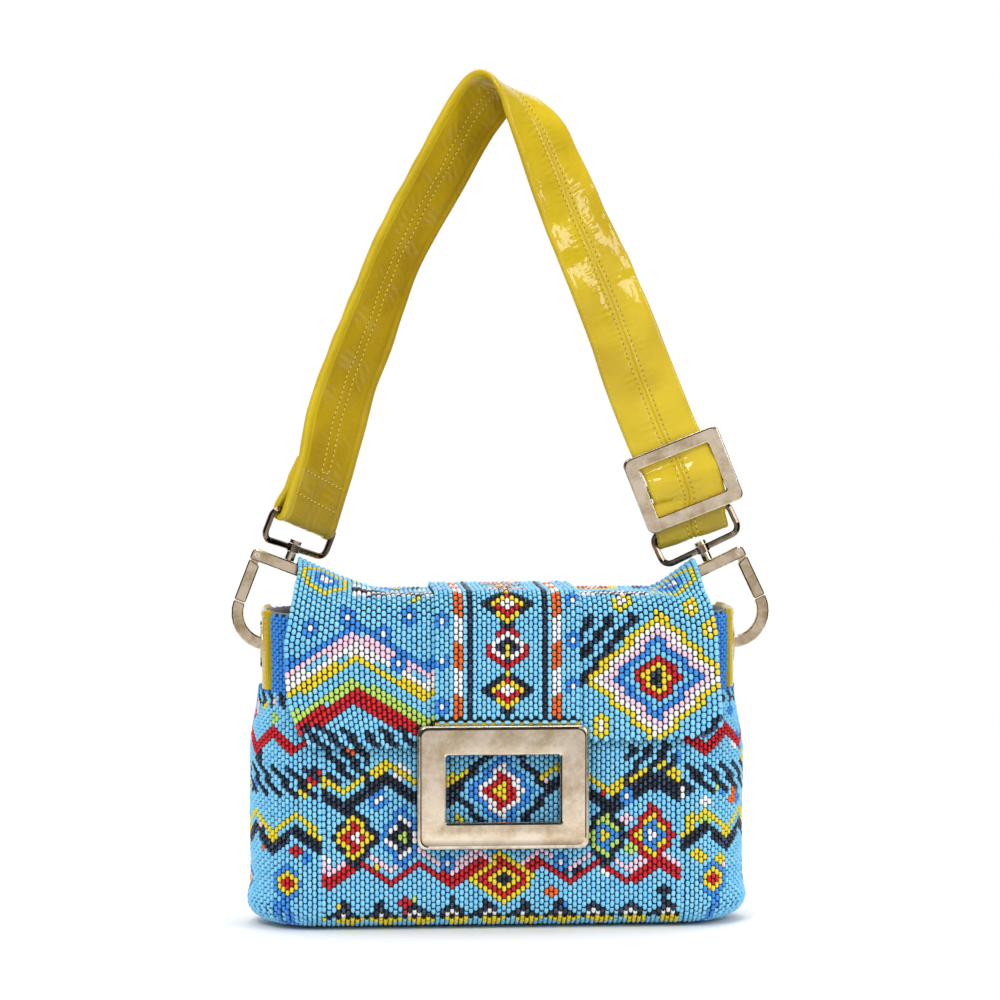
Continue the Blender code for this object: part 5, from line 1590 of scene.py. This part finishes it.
buckle = {"half": 0.0430, "low": 0.0421, "high": 0.1042, "corner": 0.0042, "windowHalf": 0.0285,
          "windowLow": 0.0557, "windowHigh": 0.0893, "windowCorner": 0.0012, "front": -0.0466,
          "back": -0.0408, "width": 0.0145, "rim": 0.0021, "lip": 0.0014, "dome": 0.0002}
sliderPlate = {"half": 0.0261, "low": -0.0202, "high": 0.0202, "corner": 0.0038, "windowHalf": 0.0189,
               "windowLow": -0.0133, "windowHigh": 0.0133, "windowCorner": 0.0014, "thickness": 0.0028,
               "stand": 0.0030, "width": 0.0070, "rim": 0.0010, "lip": 0.0008, "dome": 0.0001}
# points of a section: over the lip, the face and the rim, then the back
sectionSteps = {"bevel": 6, "face": 9, "back": 4}
# strips of a section that get a painted reflection or painted shade of their own
strips = {"lip": slice(0, 4), "lipTop": slice(2, 4), "crease": 4, "rimTop": 15, "rimNext": 16,
          "rimRest": slice(17, 20)}


def roundedOutline(half, low, high, radius):
    # a rectangle with round corners, from the lower right one on
    points = []
    for cx, cy, start in ((half - radius, low + radius, -90), (half - radius, high - radius, 0),
                          (radius - half, high - radius, 90), (radius - half, low + radius, 180)):
        angle = np.radians(start + np.linspace(0, 90, 9))
        points.append(np.stack([cx + radius * np.cos(angle), cy + radius * np.sin(angle)], -1))
    return np.concatenate(points)


def frameSection(width, thickness, lip, rim, dome):
    # from the window's wall over the front to the outer wall and round the back, as shares across and depths
    hold, small = 0.00025, 0.0004
    turn = np.linspace(0, math.pi / 2, sectionSteps["bevel"])
    points = [(lip * (1 - math.cos(angle)), thickness - lip * (1 - math.sin(angle))) for angle in turn]
    for share in np.linspace(lip + hold, width - rim - hold, sectionSteps["face"]):
        q = (share - lip) / (width - lip - rim)
        points.append((share, thickness + dome * 4 * q * (1 - q)))
    points += [(width - rim * (1 - math.cos(angle)), thickness - rim * 0.8 * (1 - math.sin(angle)))
               for angle in turn[::-1]]
    points += [(width, small), (width - small, 0.0), (small, 0.0), (0.0, small)]
    return np.array([(a / width, b) for a, b in points])


def bevelShade(outer, tilt, paintedCreaseShade):
    # the look of each part of the two bevels as painted reflections: those that turn up and left get a
    # painted reflection of the dark above the lamps, and a painted crease shade runs round the face where it
    # is asked for
    step = np.roll(outer, -1, 0) - np.roll(outer, 1, 0)
    away = unit(np.stack([step[:, 1], -step[:, 0]], -1))
    a = math.radians(tilt)
    sideways = away[:, 0] * math.cos(a) - away[:, 1] * math.sin(a)
    upwards = away[:, 0] * math.sin(a) + away[:, 1] * math.cos(a)
    facing = upwards * 0.8 - sideways * 0.6
    dark, pale = 1, 2
    count = 2 * sectionSteps["bevel"] + sectionSteps["face"] + sectionSteps["back"]
    looks = np.zeros((len(outer), count), int)
    looks[:, strips["lip"]] = pale
    looks[:, strips["rimRest"]] = pale
    looks[facing < -0.3, strips["lipTop"]] = dark
    looks[facing > 0.3, strips["rimTop"]] = dark
    looks[facing > 0.7, strips["rimNext"]] = dark
    if paintedCreaseShade:
        looks[:, strips["crease"]] = np.where(facing < -0.7, dark, 0)
        looks[:, strips["rimTop"]] = np.where(facing > -0.7, dark, pale)
        looks[facing <= 0.7, strips["rimNext"]] = pale
    return looks


def flatFrame(name, plate, thickness, toWorld, look, body, replaced, tilt=0.0, paintedCreaseShade=False):
    # the plate's section carried round between its outer outline and its window's
    outer = roundedOutline(plate["half"], plate["low"], plate["high"], plate["corner"])
    inner = roundedOutline(plate["windowHalf"], plate["windowLow"], plate["windowHigh"],
                           plate["windowCorner"])
    section = frameSection(plate["width"], thickness, plate["lip"], plate["rim"], plate["dome"])
    across = inner[:, None] + (outer - inner)[:, None] * section[None, :, :1]
    depth = np.broadcast_to(section[None, :, 1], across.shape[:2])
    points, quads = tube(toWorld(across[..., 0], across[..., 1], depth), True)
    looks = bevelShade(outer, tilt, paintedCreaseShade).ravel()
    piece = outwards(meshOf(name, points, quads, [look, bevelPaintedDark, bevelPaintedPale], looks))
    finishPiece(piece, body, replaced)


def makeBuckle():
    # upright in front of the flap
    def toWorld(x, z, d):
        return np.stack([x, buckle["back"] - d, z], -1)

    flatFrame("buckle_plate", buckle, buckle["back"] - buckle["front"], toWorld, buckleMetal, "flap",
              ("buckle_frame",), paintedCreaseShade=True)


def makeSlider():
    # on the right leg, in the slider's own frame
    thickness = sliderPlate["thickness"]
    base = slider["origin"] + slider["out"] * (sliderPlate["stand"] - thickness / 2)

    def toWorld(x, y, d):
        flat = x[..., None] * slider["across"] + y[..., None] * slider["up"]
        return base + flat + d[..., None] * slider["out"]

    flatFrame("slider_plate", sliderPlate, thickness, toWorld, champagne, "slider", ("slider_frame",),
              strap["legTilt"])


# Nodes that keep their own shape

keptLooks = {"band_edging": patentBright, "slider_bar": champagne, "panel_magnet": darkNickel,
             "flap_magnet": darkNickel}
for end in ("left_", "right_"):
    for name in ("eyelet", "eyelet_washer", "buckle_screw"):
        keptLooks[end + name] = champagne
    for name in ("hook_body", "swivel_post", "gate_pin", "gate"):
        keptLooks[end + name] = hookMetal
    keptLooks[end + "ring"] = darkNickel


def dressNodes():
    # gives each of them its look
    for name, look in keptLooks.items():
        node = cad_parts[name]
        node.data.materials.clear()
        node.data.materials.append(look)


makeCamera()
makeLamps()
makeWorld()
makeFloor()
print("stage set")
makePanels()
makeBase()
makeGusset(-1, "left")
makeGusset(1, "right")
makeFlap()
makeBand()
makeLining()
makePocket()
makeTab(-1, "left")
makeTab(1, "right")
print("bag dressed")
makeStrap()
makeEndLoop()
makeBuckle()
makeSlider()
dressNodes()
